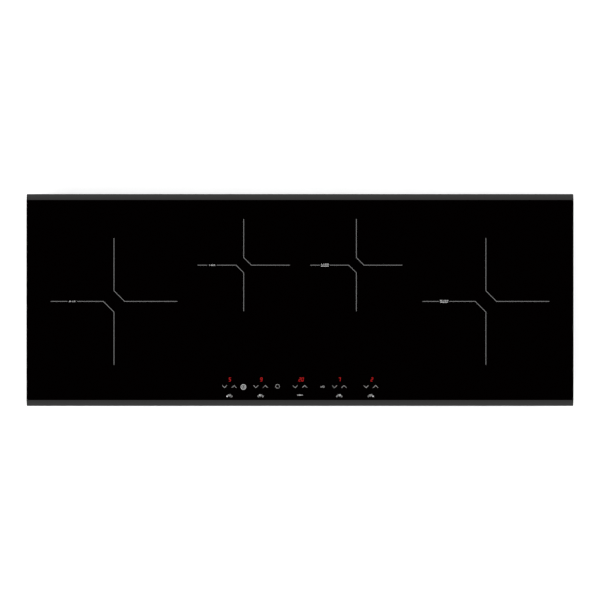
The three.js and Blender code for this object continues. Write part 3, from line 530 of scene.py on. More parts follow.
def round_off(shape, items, radius, segments=2, affect="EDGES"):
    bmesh.ops.bevel(
        shape,
        geom=items,
        offset=radius,
        offset_type="OFFSET",
        affect=affect,
        segments=segments,
        profile=0.5,
        material=-1,
        clamp_overlap=True,
    )


def sharp_edges(shape, degrees):
    limit = math.radians(degrees)
    return [edge for edge in shape.edges if edge.is_manifold and edge.calc_face_angle() > limit]


def box_shape(low, high):
    """A box between two corners."""
    shape = bmesh.new()
    bmesh.ops.create_cube(shape, size=1)
    bmesh.ops.scale(shape, vec=high - low, verts=shape.verts)
    return move(shape, (low + high) / 2)


def eased_box(low, high, radius, segments=2):
    """A box with rounds on all its edges."""
    shape = box_shape(low, high)
    round_off(shape, shape.edges[:], radius, segments)
    return shape


def copy_of(name):
    """A node's mesh as a bmesh, in which faces that touch share their corners."""
    shape = bmesh.new()
    shape.from_mesh(nodes[name].data)
    bmesh.ops.remove_doubles(shape, verts=shape.verts, dist=0.001 * MM)
    return shape


def join(shape, other):
    """Add another bmesh to this one."""
    mesh = bpy.data.meshes.new("joined")
    other.to_mesh(mesh)
    other.free()
    shape.from_mesh(mesh)
    bpy.data.meshes.remove(mesh)


# %% [markdown]
# ## The glass plate
# The real plate is cut, its corners are rounded, its two long edges are ground to a
# slope, and every edge gets a tiny arris so that it doesn't chip. A box takes the same
# steps in the same order: a bevel, two slanting cuts, and a second, very small bevel.

# %% Model the glass
corner_radius = 1 * MM
arris = 0.2 * MM

plate = box_shape(glass_low, glass_high)
upright = [edge for edge in plate.edges if abs(edge.verts[0].co.z - edge.verts[1].co.z) > MM]
round_off(plate, upright, corner_radius, 8)
for side in (-1, 1):
    crest = (0, side * bevel_start, glass_high.z)
    rim = cut(plate, crest, (0, side * bevel_drop, bevel_width))
    bmesh.ops.edgenet_fill(plate, edges=only(rim, EDGE))
face_outwards(plate)
round_off(plate, sharp_edges(plate, 12), arris)
make_piece("glass_plate", plate, "cooktop_glass")

# %% [markdown]
# ## The foam tape
# Closed-cell foam is cut square, and the weight of the plate presses its edges round. A
# box with generous bevels gives that soft section.

# %% Model the tape
tape_round = 0.6 * MM
for end in ("front", "rear", "left", "right"):
    tape = eased_box(*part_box(f"seal_{end}"), tape_round, 3)
    keep_flats_flat(make_piece(f"tape_{end}", tape, f"seal_{end}", smooth_below=40))

# %% [markdown]
# ## Softening a pressed casing
# Folded sheet has no knife edges: a bend is round, and a cut edge is a little rolled. A
# copy of the node's mesh is merged, its flat areas become single faces, and a narrow
# bevel on what stays sharp catches the light.


# %% Soften a copy of a node
def soften(name, radius=0.3 * MM, sharp_above=50):
    """A copy of a node's mesh with narrow rounds on its edges."""
    shape = copy_of(name)
    flat = math.radians(0.5)
    bmesh.ops.dissolve_limit(shape, angle_limit=flat, verts=shape.verts, edges=shape.edges)
    round_off(shape, sharp_edges(shape, sharp_above), radius)
    return shape


casing = soften("base_tray", 0.2 * MM)
keep_flats_flat(make_piece("casing", casing, "base_tray", smooth_below=50))

# %% [markdown]
# ## Easing the pieces inside
# Inside the casing lie mouldings, extrusions and more folded sheet, and on the real ones
# every corner is a little eased too. Their shapes are right, so each of them is copied,
# softened and shaded smooth across its facets.

# %% Ease the inner pieces
eased_starts = ("rail_", "coil_plate", "board_tray_", "heat_sink_", "blower_", "impeller_")
eased_starts += ("control_case", "light_guide")
for name in nodes:
    if name.startswith(eased_starts):
        keep_flats_flat(make_piece(f"eased_{name}", soften(name), name, smooth_below=50))

# %% [markdown]
# ## The terminal hatch
# The moulded cover under the mains terminals has a sunk panel, so that it stays flat,
# and a row of ribs for the thumb that pushes it open. Two insets sink the panel.

# %% Model the hatch cover
hatch = soften("terminal_cover", 0.25 * MM, 30)
hatch_low, hatch_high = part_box("terminal_cover")
sink(hatch, min(hatch.faces, key=face_height), margin=4 * MM, slope=0.5 * MM, depth=0.7 * MM)
rib_size = Vector((18, 1.2, 1.0)) * MM
rib_pitch = 2.6 * MM
rib_count = 5
grip = Vector(((hatch_low.x + hatch_high.x) / 2, hatch_low.y + 17 * MM, hatch_low.z + 0.8 * MM))
for i in range(rib_count):
    middle = grip + Vector((0, (i - rib_count // 2) * rib_pitch, 0))
    join(hatch, eased_box(middle - rib_size / 2, middle + rib_size / 2, 0.35 * MM))
make_piece("hatch_cover", hatch, "terminal_cover")

# %% [markdown]
# ## Shapes built ring by ring
# A screw is turned, but its outline changes on the way up: a cross in the head, a round
# rim, a wound thread. So a circle is extruded ring after ring, and each ring is moved to
# its own radius, height and outline. An outline that turns with the height is a thread.


# %% Outlines for the rings
def hexagon(angle, height):
    sixth = math.pi / 3
    return math.cos(sixth / 2) / math.cos(angle % sixth - sixth / 2)


def cross_of(width):
    """A cross whose arms end on the circle; width is a share of the radius."""

    def outline(angle, height):
        off_arm = abs((angle + math.pi / 4) % (math.pi / 2) - math.pi / 4)
        return min(1.0, width / max(math.sin(off_arm), 0.01))

    return outline


def thread(pitch, depth):
    """A wound outline; depth is a share of the radius."""

    def outline(angle, height):
        turns = (height / pitch - angle / math.tau) % 1
        return 1 - depth * abs(2 * turns - 1)

    return outline


recess = cross_of(0.27)
score = cross_of(0.1)

# %% Build from rings
ring_steps = 36


def turned(rings):
    """A closed shape from rings, one end first.

    A ring is a radius and a height in millimetres, and an outline if it isn't round."""
    shape = bmesh.new()
    bmesh.ops.create_circle(shape, cap_ends=True, segments=ring_steps, radius=1)
    corners = shape.verts[:]
    edges = shape.edges[:]
    for i, (radius, height, *outline) in enumerate(rings):
        if i > 0:
            made = bmesh.ops.extrude_edge_only(shape, edges=edges)["geom"]
            corners = only(made, CORNER)
            edges = [edge for edge in only(made, EDGE) if edge.is_boundary]
        for corner in corners:
            angle = math.atan2(corner.co.y, corner.co.x)
            reach = radius * (outline[0](angle, height) if outline else 1) * MM
            corner.co = (reach * math.cos(angle), reach * math.sin(angle), height * MM)
    bmesh.ops.contextual_create(shape, geom=edges)
    return face_outwards(shape)


def threaded(radius, low, high, pitch, depth, rings_per_turn=5):
    """The rings of a threaded length."""
    count = round((high - low) / pitch * rings_per_turn)
    outline = thread(pitch, depth)
    return [(radius, low + (high - low) * i / count, outline) for i in range(count + 1)]


# %% [markdown]
# ## Casing screws
# Sheet-metal screws with a low round head hold the casing to the rails. One is built
# upright, from its point to the floor of its cross, and turned to face each wall.

# %% Model the casing screws
head_rings = [(1.5, 0.0), (3.9, 0.0), (4.0, 0.15), (4.0, 0.7), (3.75, 1.3), (3.2, 1.85)]
head_rings += [(2.5, 2.2), (1.9, 2.35), (1.8, 2.4, recess), (1.25, 0.8, recess)]
head_height = 2.4 * MM
screw_rings = [(0.2, -9.9), (1.2, -8.4), *threaded(1.9, -8.0, -0.3, 1.3, 0.22), *head_rings]

for number in range(1, 7):
    node = f"casing_screw_{number}"
    low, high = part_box(node)
    middle = (low + high) / 2
    span = high - low
    long_axis = 0 if span.x > span.y else 1
    outwards = Vector((0, 0, 0))
    outwards[long_axis] = math.copysign(1, middle[long_axis])
    seat = middle + outwards * (span[long_axis] / 2 - head_height)
    screw = turned(screw_rings)
    turn = outwards.to_track_quat("Z", "Y").to_matrix()
    bmesh.ops.rotate(screw, matrix=turn, verts=screw.verts)
    make_piece(f"pan_screw_{number}", move(screw, seat), node, smooth_below=35)

# %% [markdown]
# ## Worktop clamps
# A screw with a flanged six-sided head stands in a tab of the casing, and a bent arm
# rests on its flange. The arm is a flat ring round the screw's hole, drawn out to a
# strip, folded up at the end, and given its thickness by a modifier.

# %% Model the clamp screws
clamp_rings = [(1.2, 2.5, recess), (1.9, 1.0, recess), (2.1, 1.0), (3.7, 1.0, hexagon)]
clamp_rings += [(4.12, 1.2, hexagon), (4.12, 2.05, hexagon), (4.3, 2.3), (5.3, 2.85)]
clamp_rings += [(5.5, 3.05), (5.5, 3.8), (5.35, 4.0), (2.2, 4.0)]
clamp_rings += [*threaded(2.5, 4.4, 22.4, 0.8, 0.19), (1.5, 23.1)]

clamp_axes = {}
for side in ("left", "right"):
    for end in ("front", "rear"):
        place = f"{side}_{end}"
        low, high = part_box(f"clamp_screw_{place}")
        clamp_axes[place] = Vector(((low.x + high.x) / 2, (low.y + high.y) / 2, 0))
        screw = move(turned(clamp_rings), clamp_axes[place])
        make_piece(f"jack_screw_{place}", screw, f"clamp_screw_{place}", smooth_below=35)

# %% Model the clamp arms
arm_bottom = 4.3
arm_half = 6.5
arm_reach = 28.0
arm_bore = 2.8
arm_thickness = 2.0
lip_top = 11.3
fold_radius = 3.0
fold_steps = 6


def arm_edge(shape, edges, y, z):
    """Draw the strip's free end out to a new place, and return that end."""
    made = bmesh.ops.extrude_edge_only(shape, edges=edges)["geom"]
    for corner in only(made, CORNER):
        corner.co = (corner.co.x, y * MM, z * MM)
    level = only(made, EDGE)
    return [edge for edge in level if abs(edge.verts[0].co.x - edge.verts[1].co.x) > HAIR]


def clamp_arm():
    """The outer skin of an arm that lies along +Y from its screw at the origin."""
    shape = bmesh.new()
    bmesh.ops.create_circle(shape, cap_ends=False, segments=32, radius=arm_bore * MM)
    move(shape, (0, 0, arm_bottom * MM))
    made = bmesh.ops.extrude_edge_only(shape, edges=shape.edges[:])["geom"]
    for corner in only(made, CORNER):
        x, y = corner.co.x / (arm_bore * MM), corner.co.y / (arm_bore * MM)
        square = max(abs(x), abs(y)) if y > 0 else 1
        corner.co.x, corner.co.y = x / square * arm_half * MM, y / square * arm_half * MM
    front = arm_half * MM - HAIR
    end = [edge for edge in shape.edges if all(corner.co.y > front for corner in edge.verts)]
    for i in range(fold_steps + 1):
        turn = math.pi / 2 * i / fold_steps
        y = arm_reach - fold_radius + fold_radius * math.sin(turn)
        z = arm_bottom + fold_radius - fold_radius * math.cos(turn)
        end = arm_edge(shape, end, y, z)
    arm_edge(shape, end, arm_reach, lip_top)
    return face_outwards(shape)


for place, axis in clamp_axes.items():
    arm = clamp_arm()
    if place.endswith("rear"):
        rotate(arm, math.pi)
    node = f"clamp_arm_{place}"
    piece = make_piece(f"bent_arm_{place}", move(arm, axis), node, smooth_below=40)
    add_modifier(piece, "SOLIDIFY", thickness=arm_thickness * MM, offset=-1, use_even_offset=True)
    add_modifier(piece, "BEVEL", width=0.25 * MM, segments=2, limit_method="ANGLE")
    keep_flats_flat(piece)

# %% [markdown]
# ## The cable bush
# A rubbery bush lines the hole for the mains cable. Its section is drawn once, its
# corners are rounded, and a full spin closes it. Turned on its side, it fits the hole.


# %% Spin a section
def spun(section, easing, segments=3, steps=96):
    """A ring round Z from a closed section of (radius, height) in millimetres."""
    shape = bmesh.new()
    points = [shape.verts.new((radius * MM, 0, height * MM)) for radius, height in section]
    for i, point in enumerate(points):
        shape.edges.new((points[i - 1], point))
    round_off(shape, shape.verts[:], easing * MM, segments, "VERTICES")
    line = shape.verts[:] + shape.edges[:]
    full = {"cent": (0, 0, 0), "axis": (0, 0, 1), "angle": math.tau, "use_merge": True}
    bmesh.ops.spin(shape, geom=line, steps=steps, **full)
    return face_outwards(shape)


# %% Model the bush
bush_section = [(7.0, -3.2), (13.0, -3.2), (13.0, -0.8), (9.7, -0.8)]
bush_section += [(9.7, 0.8), (13.0, 0.8), (13.0, 3.2), (7.0, 3.2)]
bush_low, bush_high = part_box("cable_bush")
bush = rotate(spun(bush_section, 0.6, segments=4, steps=64), -math.pi / 2, "X")
make_piece("bush", move(bush, (bush_low + bush_high) / 2), "cable_bush", smooth_below=50)

# %% [markdown]
# ## The windings
# Each coil is one length of litz wire, wound in a flat spiral from the inside out, with a
# short straight lead at both ends. A grid carries the map for the twist; its columns
# become rings round the wire, so the spiral is a formula and the tube has no seams.

# %% Wind a coil
wire_radius = 2.2
wire_sides = 14
coil_inner = 24.0
wire_half_width = wire_radius / math.cos(math.pi / 6)
lead_length = 2 * wire_radius
wire_step = 3.2


def wire_place(distance, outer, turns):
    """The wire's middle and its direction at a distance along it, in millimetres."""
    sweep = math.tau * turns
    growth = (outer - coil_inner) / sweep
    wound = coil_inner * sweep + growth * sweep**2 / 2
    inside = min(max(distance - lead_length, 0), wound)
    angle = (math.sqrt(coil_inner**2 + 2 * growth * inside) - coil_inner) / growth
    radius = coil_inner + growth * angle
    straight = min(distance - lead_length, 0) + max(distance - lead_length - wound, 0)
    place = Vector((radius * math.cos(angle), radius * math.sin(angle) + straight, 0))
    heading = Vector((-math.sin(angle), math.cos(angle), 0))
    return place, heading


def wind(outer, turns):
    """A closed tube along the spiral, its middle at the origin."""
    length = 2 * lead_length + math.pi * turns * (coil_inner + outer)
    shape = bmesh.new()
    wire_map = shape.loops.layers.uv.new("along_wire")
    rings = round(length / wire_step)
    bmesh.ops.create_grid(shape, x_segments=rings, y_segments=wire_sides, size=0.5, calc_uvs=True)
    for corner in shape.verts:
        place, heading = wire_place((corner.co.x + 0.5) * length, outer, turns)
        turn = (corner.co.y + 0.5) * math.tau
        sideways = heading.cross(Vector((0, 0, 1)))
        spoke = sideways * math.cos(turn) + Vector((0, 0, math.sin(turn)))
        corner.co = (place + spoke * wire_radius) * MM
    for face in shape.faces:
        for loop in face.loops:
            loop[wire_map].uv.x *= length * MM
    bmesh.ops.remove_doubles(shape, verts=shape.verts, dist=HAIR)
    bmesh.ops.holes_fill(shape, edges=shape.edges, sides=0)
    return face_outwards(shape)


# %% Wind all four
coils = {
    "left_large": (95, 8),
    "left_small": (66, 6),
    "right_small": (66, 6),
    "right_large": (95, 8),
}
for zone, (radius, turns) in coils.items():
    low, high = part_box(f"insulator_{zone}")
    wire_low, wire_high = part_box(f"winding_{zone}")
    middle = (low + high) / 2
    middle.z = (wire_low.z + wire_high.z) / 2
    coil = move(wind(radius - wire_half_width, turns), middle)
    make_piece(f"coil_{zone}", coil, f"winding_{zone}", smooth_below=50)

# %% [markdown]
# ## What stands on the boards
# In the frame a circuit board is one solid with the bulk of its parts. Cut just above the
# board, they fall apart into islands, and the corners on top of an island tell what it
# is: four are a block, six round a middle are a touch spring, twelve round a middle are
# a capacitor, and two rings of them are a choke.

# %% Find the parts of a board
just_above = 0.05 * MM
part_finishes = {
    "black": black_plastic,
    "ferrite": ferrite,
    "cream": terminal_cream,
    "bright": aluminium,
    "zinc": zinc,
    "wire": enamelled_wire,
}


def islands(shape):
    """Yield the groups of corners that hang together."""
    met = set()
    for first in shape.verts:
        if first not in met:
            met.add(first)
            group = [first]
            for corner in group:
                for edge in corner.link_edges:
                    other = edge.other_vert(corner)
                    if other not in met:
                        met.add(other)
                        group.append(other)
            yield group


def parts_above(name, level):
    """The low corner, the high corner and the number of corners on top of each part."""
    shape = copy_of(name)
    cut(shape, (0, 0, level + just_above), (0, 0, -1))
    parts = []
    for group in islands(shape):
        low = Vector([min(corner.co[i] for corner in group) for i in range(3)])
        high = Vector([max(corner.co[i] for corner in group) for i in range(3)])
        low.z = level
        on_top = [corner for corner in group if corner.co.z > high.z - HAIR]
        parts.append((low, high, len(on_top)))
    shape.free()
    return parts


def add_part(board, part, finish_name):
    """Join a part to its board, its faces marked with their finish."""
    for face in part.faces:
        face.material_index = list(part_finishes).index(finish_name) + 1
    join(board, part)


def make_populated(node, shape):
    """The piece for a node, with its own finish and after it those of its parts."""
    piece = make_piece(f"populated_{node}", shape, node, smooth_below=40)
    for part_finish in part_finishes.values():
        piece.data.materials.append(part_finish.material)
    keep_flats_flat(piece)


# %% [markdown]
# ## Cans, cores and springs
# A power capacitor is an aluminium can in a black sleeve, with a groove near its foot and
# a scored cross on top that tears open before the can bursts. A choke is a ring core with
# wire wound through it: one turn of wire is a ring round the core, and a spin repeats it.
# A touch spring is a small circle, spun while it climbs.

# %% Build the round parts
choke_wire = 0.65 * MM
choke_turns = 24
spring_wire = 0.25 * MM
spring_turns = 5
spring_steps = 12 * spring_turns
around_z = {"cent": (0, 0, 0), "axis": (0, 0, 1)}


def add_can(board, low, high):
    """A capacitor: a black sleeve, and in its mouth the scored top of the can."""
    radius = (high.x - low.x) / 2 / MM
    height = (high.z - low.z) / MM
    neck = radius - 0.7
    sleeve = [(radius - 0.6, 0), (radius, 0.6), (radius, 2.2), (neck, 3.0), (neck, 3.4)]
    sleeve += [(radius, 4.2), (radius, height - 0.9), (radius - 0.3, height - 0.2)]
    sleeve += [(radius - 0.9, height), (radius - 1.4, height - 0.1), (radius - 1.5, height - 0.8)]
    top = [(radius - 1.6, height - 0.7), (radius - 1.6, height - 0.25)]
    top += [(radius * 0.65, height - 0.25, score), (radius * 0.6, height - 0.5, score)]
    foot = Vector(((low.x + high.x) / 2, (low.y + high.y) / 2, low.z))
    add_part(board, move(turned(sleeve), foot), "black")
    add_part(board, move(turned(top), foot), "bright")


def add_choke(board, low, high):
    """A ring core, and rings of wire spread round it."""
    outer = (high.x - low.x) / 2
    ring = outer * 0.7
    loop = outer - ring - choke_wire
    tall = (high.z - low.z) / 2 / (loop + choke_wire)

    core = bmesh.new()
    bmesh.ops.create_circle(core, segments=20, radius=loop - choke_wire / 2)
    move(rotate(core, math.pi / 2, "X"), (ring, 0, 0))
    line = core.verts[:] + core.edges[:]
    bmesh.ops.spin(core, geom=line, angle=math.tau, steps=48, use_merge=True, **around_z)

    coil = bmesh.new()
    bmesh.ops.create_circle(coil, segments=8, radius=choke_wire)
    move(coil, (loop, 0, 0))
    line = coil.verts[:] + coil.edges[:]
    around_y = {"cent": (0, 0, 0), "axis": (0, 1, 0)}
    bmesh.ops.spin(coil, geom=line, angle=math.tau, steps=20, use_merge=True, **around_y)
    move(coil, (ring, 0, 0))
    copies = {"steps": choke_turns - 1, "angle": math.tau * (choke_turns - 1) / choke_turns}
    bmesh.ops.spin(coil, geom=whole(coil), use_duplicate=True, **copies, **around_z)

    for part, finish_name in ((core, "black"), (coil, "wire")):
        face_outwards(part)
        bmesh.ops.scale(part, vec=(1, 1, tall), verts=part.verts)
        add_part(board, move(part, (low + high) / 2), finish_name)


def add_spring(board, low, high):
    """A small circle, spun while it climbs."""
    reach = (high.x - low.x) / 2 - spring_wire
    climb = (high.z - low.z - 2 * spring_wire) / spring_steps
    spring = bmesh.new()
    bmesh.ops.create_circle(spring, cap_ends=True, segments=6, radius=spring_wire)
    start = Vector(((low.x + high.x) / 2 + reach, (low.y + high.y) / 2, low.z + spring_wire))
    move(rotate(spring, math.pi / 2, "X"), start)
    bmesh.ops.spin(
        spring,
        geom=whole(spring),
        cent=start - Vector((reach, 0, 0)),
        axis=(0, 0, 1),
        dvec=(0, 0, climb),
        angle=math.tau * spring_turns,
        steps=spring_steps,
    )
    add_part(board, face_outwards(spring), "zinc")


# %% [markdown]
# ## Blocks and plugs
# A film capacitor is a cream box filled with resin, which sinks a little as it sets. A
# relay or a display is a black box on a base. A long low block is a plug: cuts divide it
# into poles, an inset opens each pole, and a pin stands in it.

# %% Build the square parts
pole_pitch = 5 * MM
plug_from = 38 * MM
plug_bottom = 1.5 * MM


def add_film_capacitor(board, low, high):
    """A cream box with a sunk top of resin."""
    body = eased_box(low, high, 0.8 * MM, 3)
    sink(body, max(body.faces, key=face_height), 0.6 * MM, 0.4 * MM, 0.4 * MM)
    add_part(board, body, "cream")


def add_relay(board, low, high):
    """A black cap on a base that stands out a little."""
    base_top = low.z + 1.4 * MM
    step = Vector((0.4, 0.4, 0)) * MM
    cap_low = Vector((low.x, low.y, base_top - 0.2 * MM)) + step
    base = eased_box(low, Vector((high.x, high.y, base_top)), 0.2 * MM)
    add_part(board, base, "black")
    add_part(board, eased_box(cap_low, high - step, 0.6 * MM, 3), "black")


def add_plug(board, low, high):
    """A row of open poles, with a pin in each."""
    housing = box_shape(low, high)
    poles = round((high.x - low.x) / pole_pitch)
    pitch = (high.x - low.x) / poles
    for i in range(1, poles):
        cut(housing, (low.x + i * pitch, 0, 0), (1, 0, 0), clear_outer=False)
    tops = [face for face in housing.faces if face_height(face) > high.z - HAIR]
    pocket = high.z - low.z - plug_bottom
    bmesh.ops.inset_individual(housing, faces=tops, thickness=0.8 * MM)
    bmesh.ops.inset_individual(housing, faces=tops, thickness=0.1 * MM, depth=-pocket)
    add_part(board, housing, "cream")
    half = Vector((0.5, 0.5, 0)) * MM
    for i in range(poles):
        foot = Vector((low.x + (i + 0.5) * pitch, (low.y + high.y) / 2, low.z + 1 * MM))
        pin = box_shape(foot - half, foot + half + Vector((0, 0, pocket - 1 * MM)))
        round_off(pin, sharp_edges(pin, 80), 0.15 * MM)
        add_part(board, pin, "zinc")


# %% [markdown]
# ## The boards themselves
# A bare board is cut from laminate and drilled. Its outline and its holes are drawn as
# edges, one fill makes a flat sheet between them, and an extrusion gives it its
# thickness. Then every part is added, and a screw goes into each hole.

# %% Build the boards
block_corners, spring_corners, can_corners = 4, 7, 13
hole_inset = 8 * MM
hole_radius = 1.6 * MM
laminate = 1.6
undersides = {
    "power_board_left": 8.1,
    "power_board_right": 8.1,
    "filter_board": 7.3,
    "control_board": 44.4,
}


def bare_board(low, high, holes):
    """A sheet of laminate with round holes."""
    board = bmesh.new()
    outline = [(low.x, low.y), (high.x, low.y), (high.x, high.y), (low.x, high.y)]
    corners = [board.verts.new((x, y, low.z)) for x, y in outline]
    for i, corner in enumerate(corners):
        board.edges.new((corners[i - 1], corner))
    for x, y in holes:
        spot = Matrix.Translation((x, y, low.z))
        bmesh.ops.create_circle(board, segments=20, radius=hole_radius, matrix=spot)
    filled = bmesh.ops.triangle_fill(board, use_beauty=True, edges=board.edges[:])["geom"]
    return thicken(board, only(filled, FACE), high.z - low.z)


def build_board(name, underside, clipped):
    """A populated board; a clipped one has no screws, and its blocks are displays."""
    node_low, node_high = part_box(name)
    low = Vector((node_low.x, node_low.y, underside * MM))
    high = Vector((node_high.x, node_high.y, (underside + laminate) * MM))
    across = (low.x + hole_inset, high.x - hole_inset)
    along = (low.y + hole_inset, high.y - hole_inset)
    holes = [] if clipped else [(x, y) for x in across for y in along]
    board = bare_board(low, high, holes)
    post_height = (low.z - node_low.z) / MM
    post = [(3.6, 0), (4, 0.4), (4, post_height - 0.4), (3.6, post_height)]
    for x, y in holes:
        screw = turned([(1.4, -1.5), *head_rings])
        add_part(board, move(screw, (x, y, high.z)), "zinc")
        if post_height > 0.1:
            add_part(board, move(turned(post), (x, y, node_low.z)), "black")
    parts = parts_above(name, high.z)
    for part_low, part_high, corner_count in parts:
        width, depth = (part_high - part_low).xy
        if corner_count > can_corners:
            add = add_choke
        elif corner_count > spring_corners:
            add = add_can
        elif corner_count > block_corners:
            add = add_spring
        elif width > plug_from:
            add = add_plug
        elif depth > width or clipped:
            add = add_relay
        else:
            add = add_film_capacitor
        add(board, part_low, part_high)
    print(f"{name}: {len(parts)} parts")
    make_populated(name, board)


for name, underside in undersides.items():
    build_board(name, underside, clipped=name == "control_board")

# %% [markdown]
# ## The mains terminals
# Each pole of the terminal block has two pockets, and in each pocket a screw presses a
# plate on the wire's end. The block is a softened copy, and the screws and their plates
# are put in its pockets.

# %% Build the terminal block
terminal = soften("terminal_block")
low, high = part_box("terminal_block")
terminal_poles = 6
pocket_floor = low.z + 8 * MM
pocket_offset = 8.6 * MM
plate_half = Vector((5.5, 4.0, 0)) * MM
plate_height = 1.4 * MM
for i in range(terminal_poles):
    for side in (-1, 1):
        x = low.x + (high.x - low.x) * (i + 0.5) / terminal_poles
        spot = Vector((x, (low.y + high.y) / 2 + side * pocket_offset, pocket_floor))
        top = spot + Vector((0, 0, plate_height))
        plate = eased_box(spot - plate_half, top + plate_half, 0.3 * MM)
        add_part(terminal, plate, "bright")
        add_part(terminal, move(turned(head_rings), top), "zinc")
make_populated("terminal_block", terminal)

# %% [markdown]
# ## Coil carriers
# A moulded wheel carries each coil. Its arms are channels, and in each lies a bar of
# ferrite, which leads the field back under the coil. A post at either end of the wire
# holds its lead. Hub and rim are spun sections, and a channel is a box whose top is
# inset and pushed in.

# %% Build a carrier
carrier_height = 7.0
carrier_arms = 6
channel_bottom = 2.0
channel_floor = 1.2
channel_wall = 1.1
channel_width = 9.0
hub_radius = 18.0
hub_bore = 7.3
rim_width = 4.0
rim_beyond = 1.0
post_width = 4.0
post_gap = 0.3
bar_play = 0.2
overlap = 1.0


def box_in_mm(low, high, easing):
    return eased_box(Vector(low) * MM, Vector(high) * MM, easing * MM)


def rectangle(inner, outer, low, high):
    """The section of a plain ring."""
    return [(inner, low), (outer, low), (outer, high), (inner, high)]


def coil_carrier(radius, post_height):
    """Hub, rim, channels, bars and posts round the origin, from the carrier's foot up."""
    rim_outer = radius + rim_beyond
    rim_inner = rim_outer - rim_width
    carrier = spun(rectangle(hub_bore, hub_radius, 0, carrier_height), 0.5, steps=64)
    join(carrier, spun(rectangle(rim_inner, rim_outer, 0, carrier_height), 0.5))
    half = channel_width / 2
    bar_half = half - channel_wall - bar_play
    bar_low = (hub_radius + 1, -bar_half, channel_bottom + channel_floor + 0.1)
    bar_high = (rim_inner - 1, bar_half, carrier_height - 0.7)
    channel_low = Vector((hub_radius - overlap, -half, channel_bottom)) * MM
    channel_high = Vector((rim_inner + overlap, half, carrier_height - 0.3)) * MM
    depth = channel_high.z - channel_low.z - channel_floor * MM
    for i in range(carrier_arms):
        turn = i * math.tau / carrier_arms
        channel = box_shape(channel_low, channel_high)
        top = max(channel.faces, key=face_height)
        sink(channel, top, channel_wall * MM, 0.05 * MM, depth)
        round_off(channel, sharp_edges(channel, 50), 0.2 * MM)
        join(carrier, rotate(channel, turn))
        add_part(carrier, rotate(box_in_mm(bar_low, bar_high, 0.4), turn), "ferrite")
    near = lead_length + post_gap
    far = near + post_width
    wire_end = radius - 2 * wire_half_width
    join(carrier, box_in_mm((9, -far, channel_bottom), (coil_inner + 1, -near, post_height), 0.4))
    join(carrier, box_in_mm((wire_end, near, channel_bottom), (rim_outer, far, post_height), 0.4))
    return carrier


# %% Carriers, mica and sensors for all four
mica_bore = 13
sensor_profile = [(6.5, 0.0), (7.0, 0.5), (7.0, 2.6), (6.2, 3.2), (6.2, 5.6), (7.0, 6.2)]
sensor_profile += [(7.0, 7.7), (6.7, 8.0), (5.2, 8.0), (5.2, 12.3), (4.7, 12.8)]
sensor_profile += [(3.6, 12.8), (3.3, 12.6)]
for zone, (radius, turns) in coils.items():
    low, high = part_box(f"insulator_{zone}")
    centre = ((low.x + high.x) / 2, (low.y + high.y) / 2)
    carrier_low, carrier_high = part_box(f"carrier_{zone}")
    carrier = coil_carrier(radius, (carrier_high.z - carrier_low.z) / MM)
    make_populated(f"carrier_{zone}", move(carrier, (*centre, carrier_low.z)))

    section = rectangle(mica_bore, radius + rim_beyond, 0, (high.z - low.z) / MM)
    disc = move(spun(section, 0.15, segments=2), (*centre, low.z))
    keep_flats_flat(make_piece(f"mica_disc_{zone}", disc, f"insulator_{zone}", smooth_below=50))

    sensor_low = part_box(f"sensor_{zone}")[0]
    probe = move(turned(sensor_profile), (*centre, sensor_low.z))
    make_piece(f"probe_{zone}", probe, f"sensor_{zone}", smooth_below=35)

# %% [markdown]
# ## Drawing with lines of ink
# A printed line is a path with a width. The path is raised into a wall as low as the
# ink is thick, and the Solidify modifier thickens the wall evenly to both sides, which
# also mitres its corners. One function draws every line on the glass.

# %% Draw a line of ink
ink_thickness = 0.03 * MM
ink_level = glass_high.z
zone_line = 0.8 * MM
sign_line = 0.39 * MM
fine_line = 0.34 * MM


def ink_path(shape, points, closed=False):
    """Add one path, in millimetres on the glass, as a low upright wall."""
    corners = [shape.verts.new((x * MM, y * MM, ink_level)) for x, y in points]
    pairs = list(zip(corners, corners[1:]))
    if closed:
        pairs.append((corners[-1], corners[0]))
    edges = [shape.edges.new(pair) for pair in pairs]
    made = bmesh.ops.extrude_edge_only(shape, edges=edges)["geom"]
    bmesh.ops.translate(shape, vec=(0, 0, ink_thickness), verts=only(made, CORNER))


def arc(x, y, radius, start=0, end=360, steps=32):
    """Points round a centre, from start to end in degrees."""
    turn = math.radians(end - start) / steps
    angles = [math.radians(start) + turn * i for i in range(steps + (end - start < 360))]
    return [(x + radius * math.cos(a), y + radius * math.sin(a)) for a in angles]


def make_print(name, paths, width, finish=sign_enamel):
    """A print of several paths, each a list of points or a (points, True) ring."""
    shape = bmesh.new()
    for path in paths:
        ring = isinstance(path, tuple)
        ink_path(shape, path[0] if ring else path, closed=ring)
    piece = make_piece(name, face_outwards(shape), finish=finish)
    settings = {"thickness": width, "offset": 0, "use_even_offset": True, "use_rim": True}
    add_modifier(piece, "SOLIDIFY", **settings)


# %% [markdown]
# ## The four zones
# A broken cross marks each zone. The upper and right arms are one line that cuts the
# corner, the left and lower arms are another, and the middle stays empty. The left arm
# stops for plain numbers: the zone's size in millimetres on the left, and on the right
# its usual and its highest power in watts.

# %% Print the crosses
zone_marks = {
    "left_large": {"x": -306.0, "y": -2.3, "reach": 104.2, "corner": 17.5, "label": (76.7, 60.8)},
    "left_small": {"x": -92.6, "y": 57.3, "reach": 75.7, "corner": 12.5, "label": (60.2, 44.2)},
    "right_small": {"x": 92.7, "y": 57.3, "reach": 75.7, "corner": 12.5, "label": (60.2, 43.5)},
    "right_large": {"x": 305.75, "y": -2.3, "reach": 104.2, "corner": 17.5, "label": (77.2, 60.0)},
}


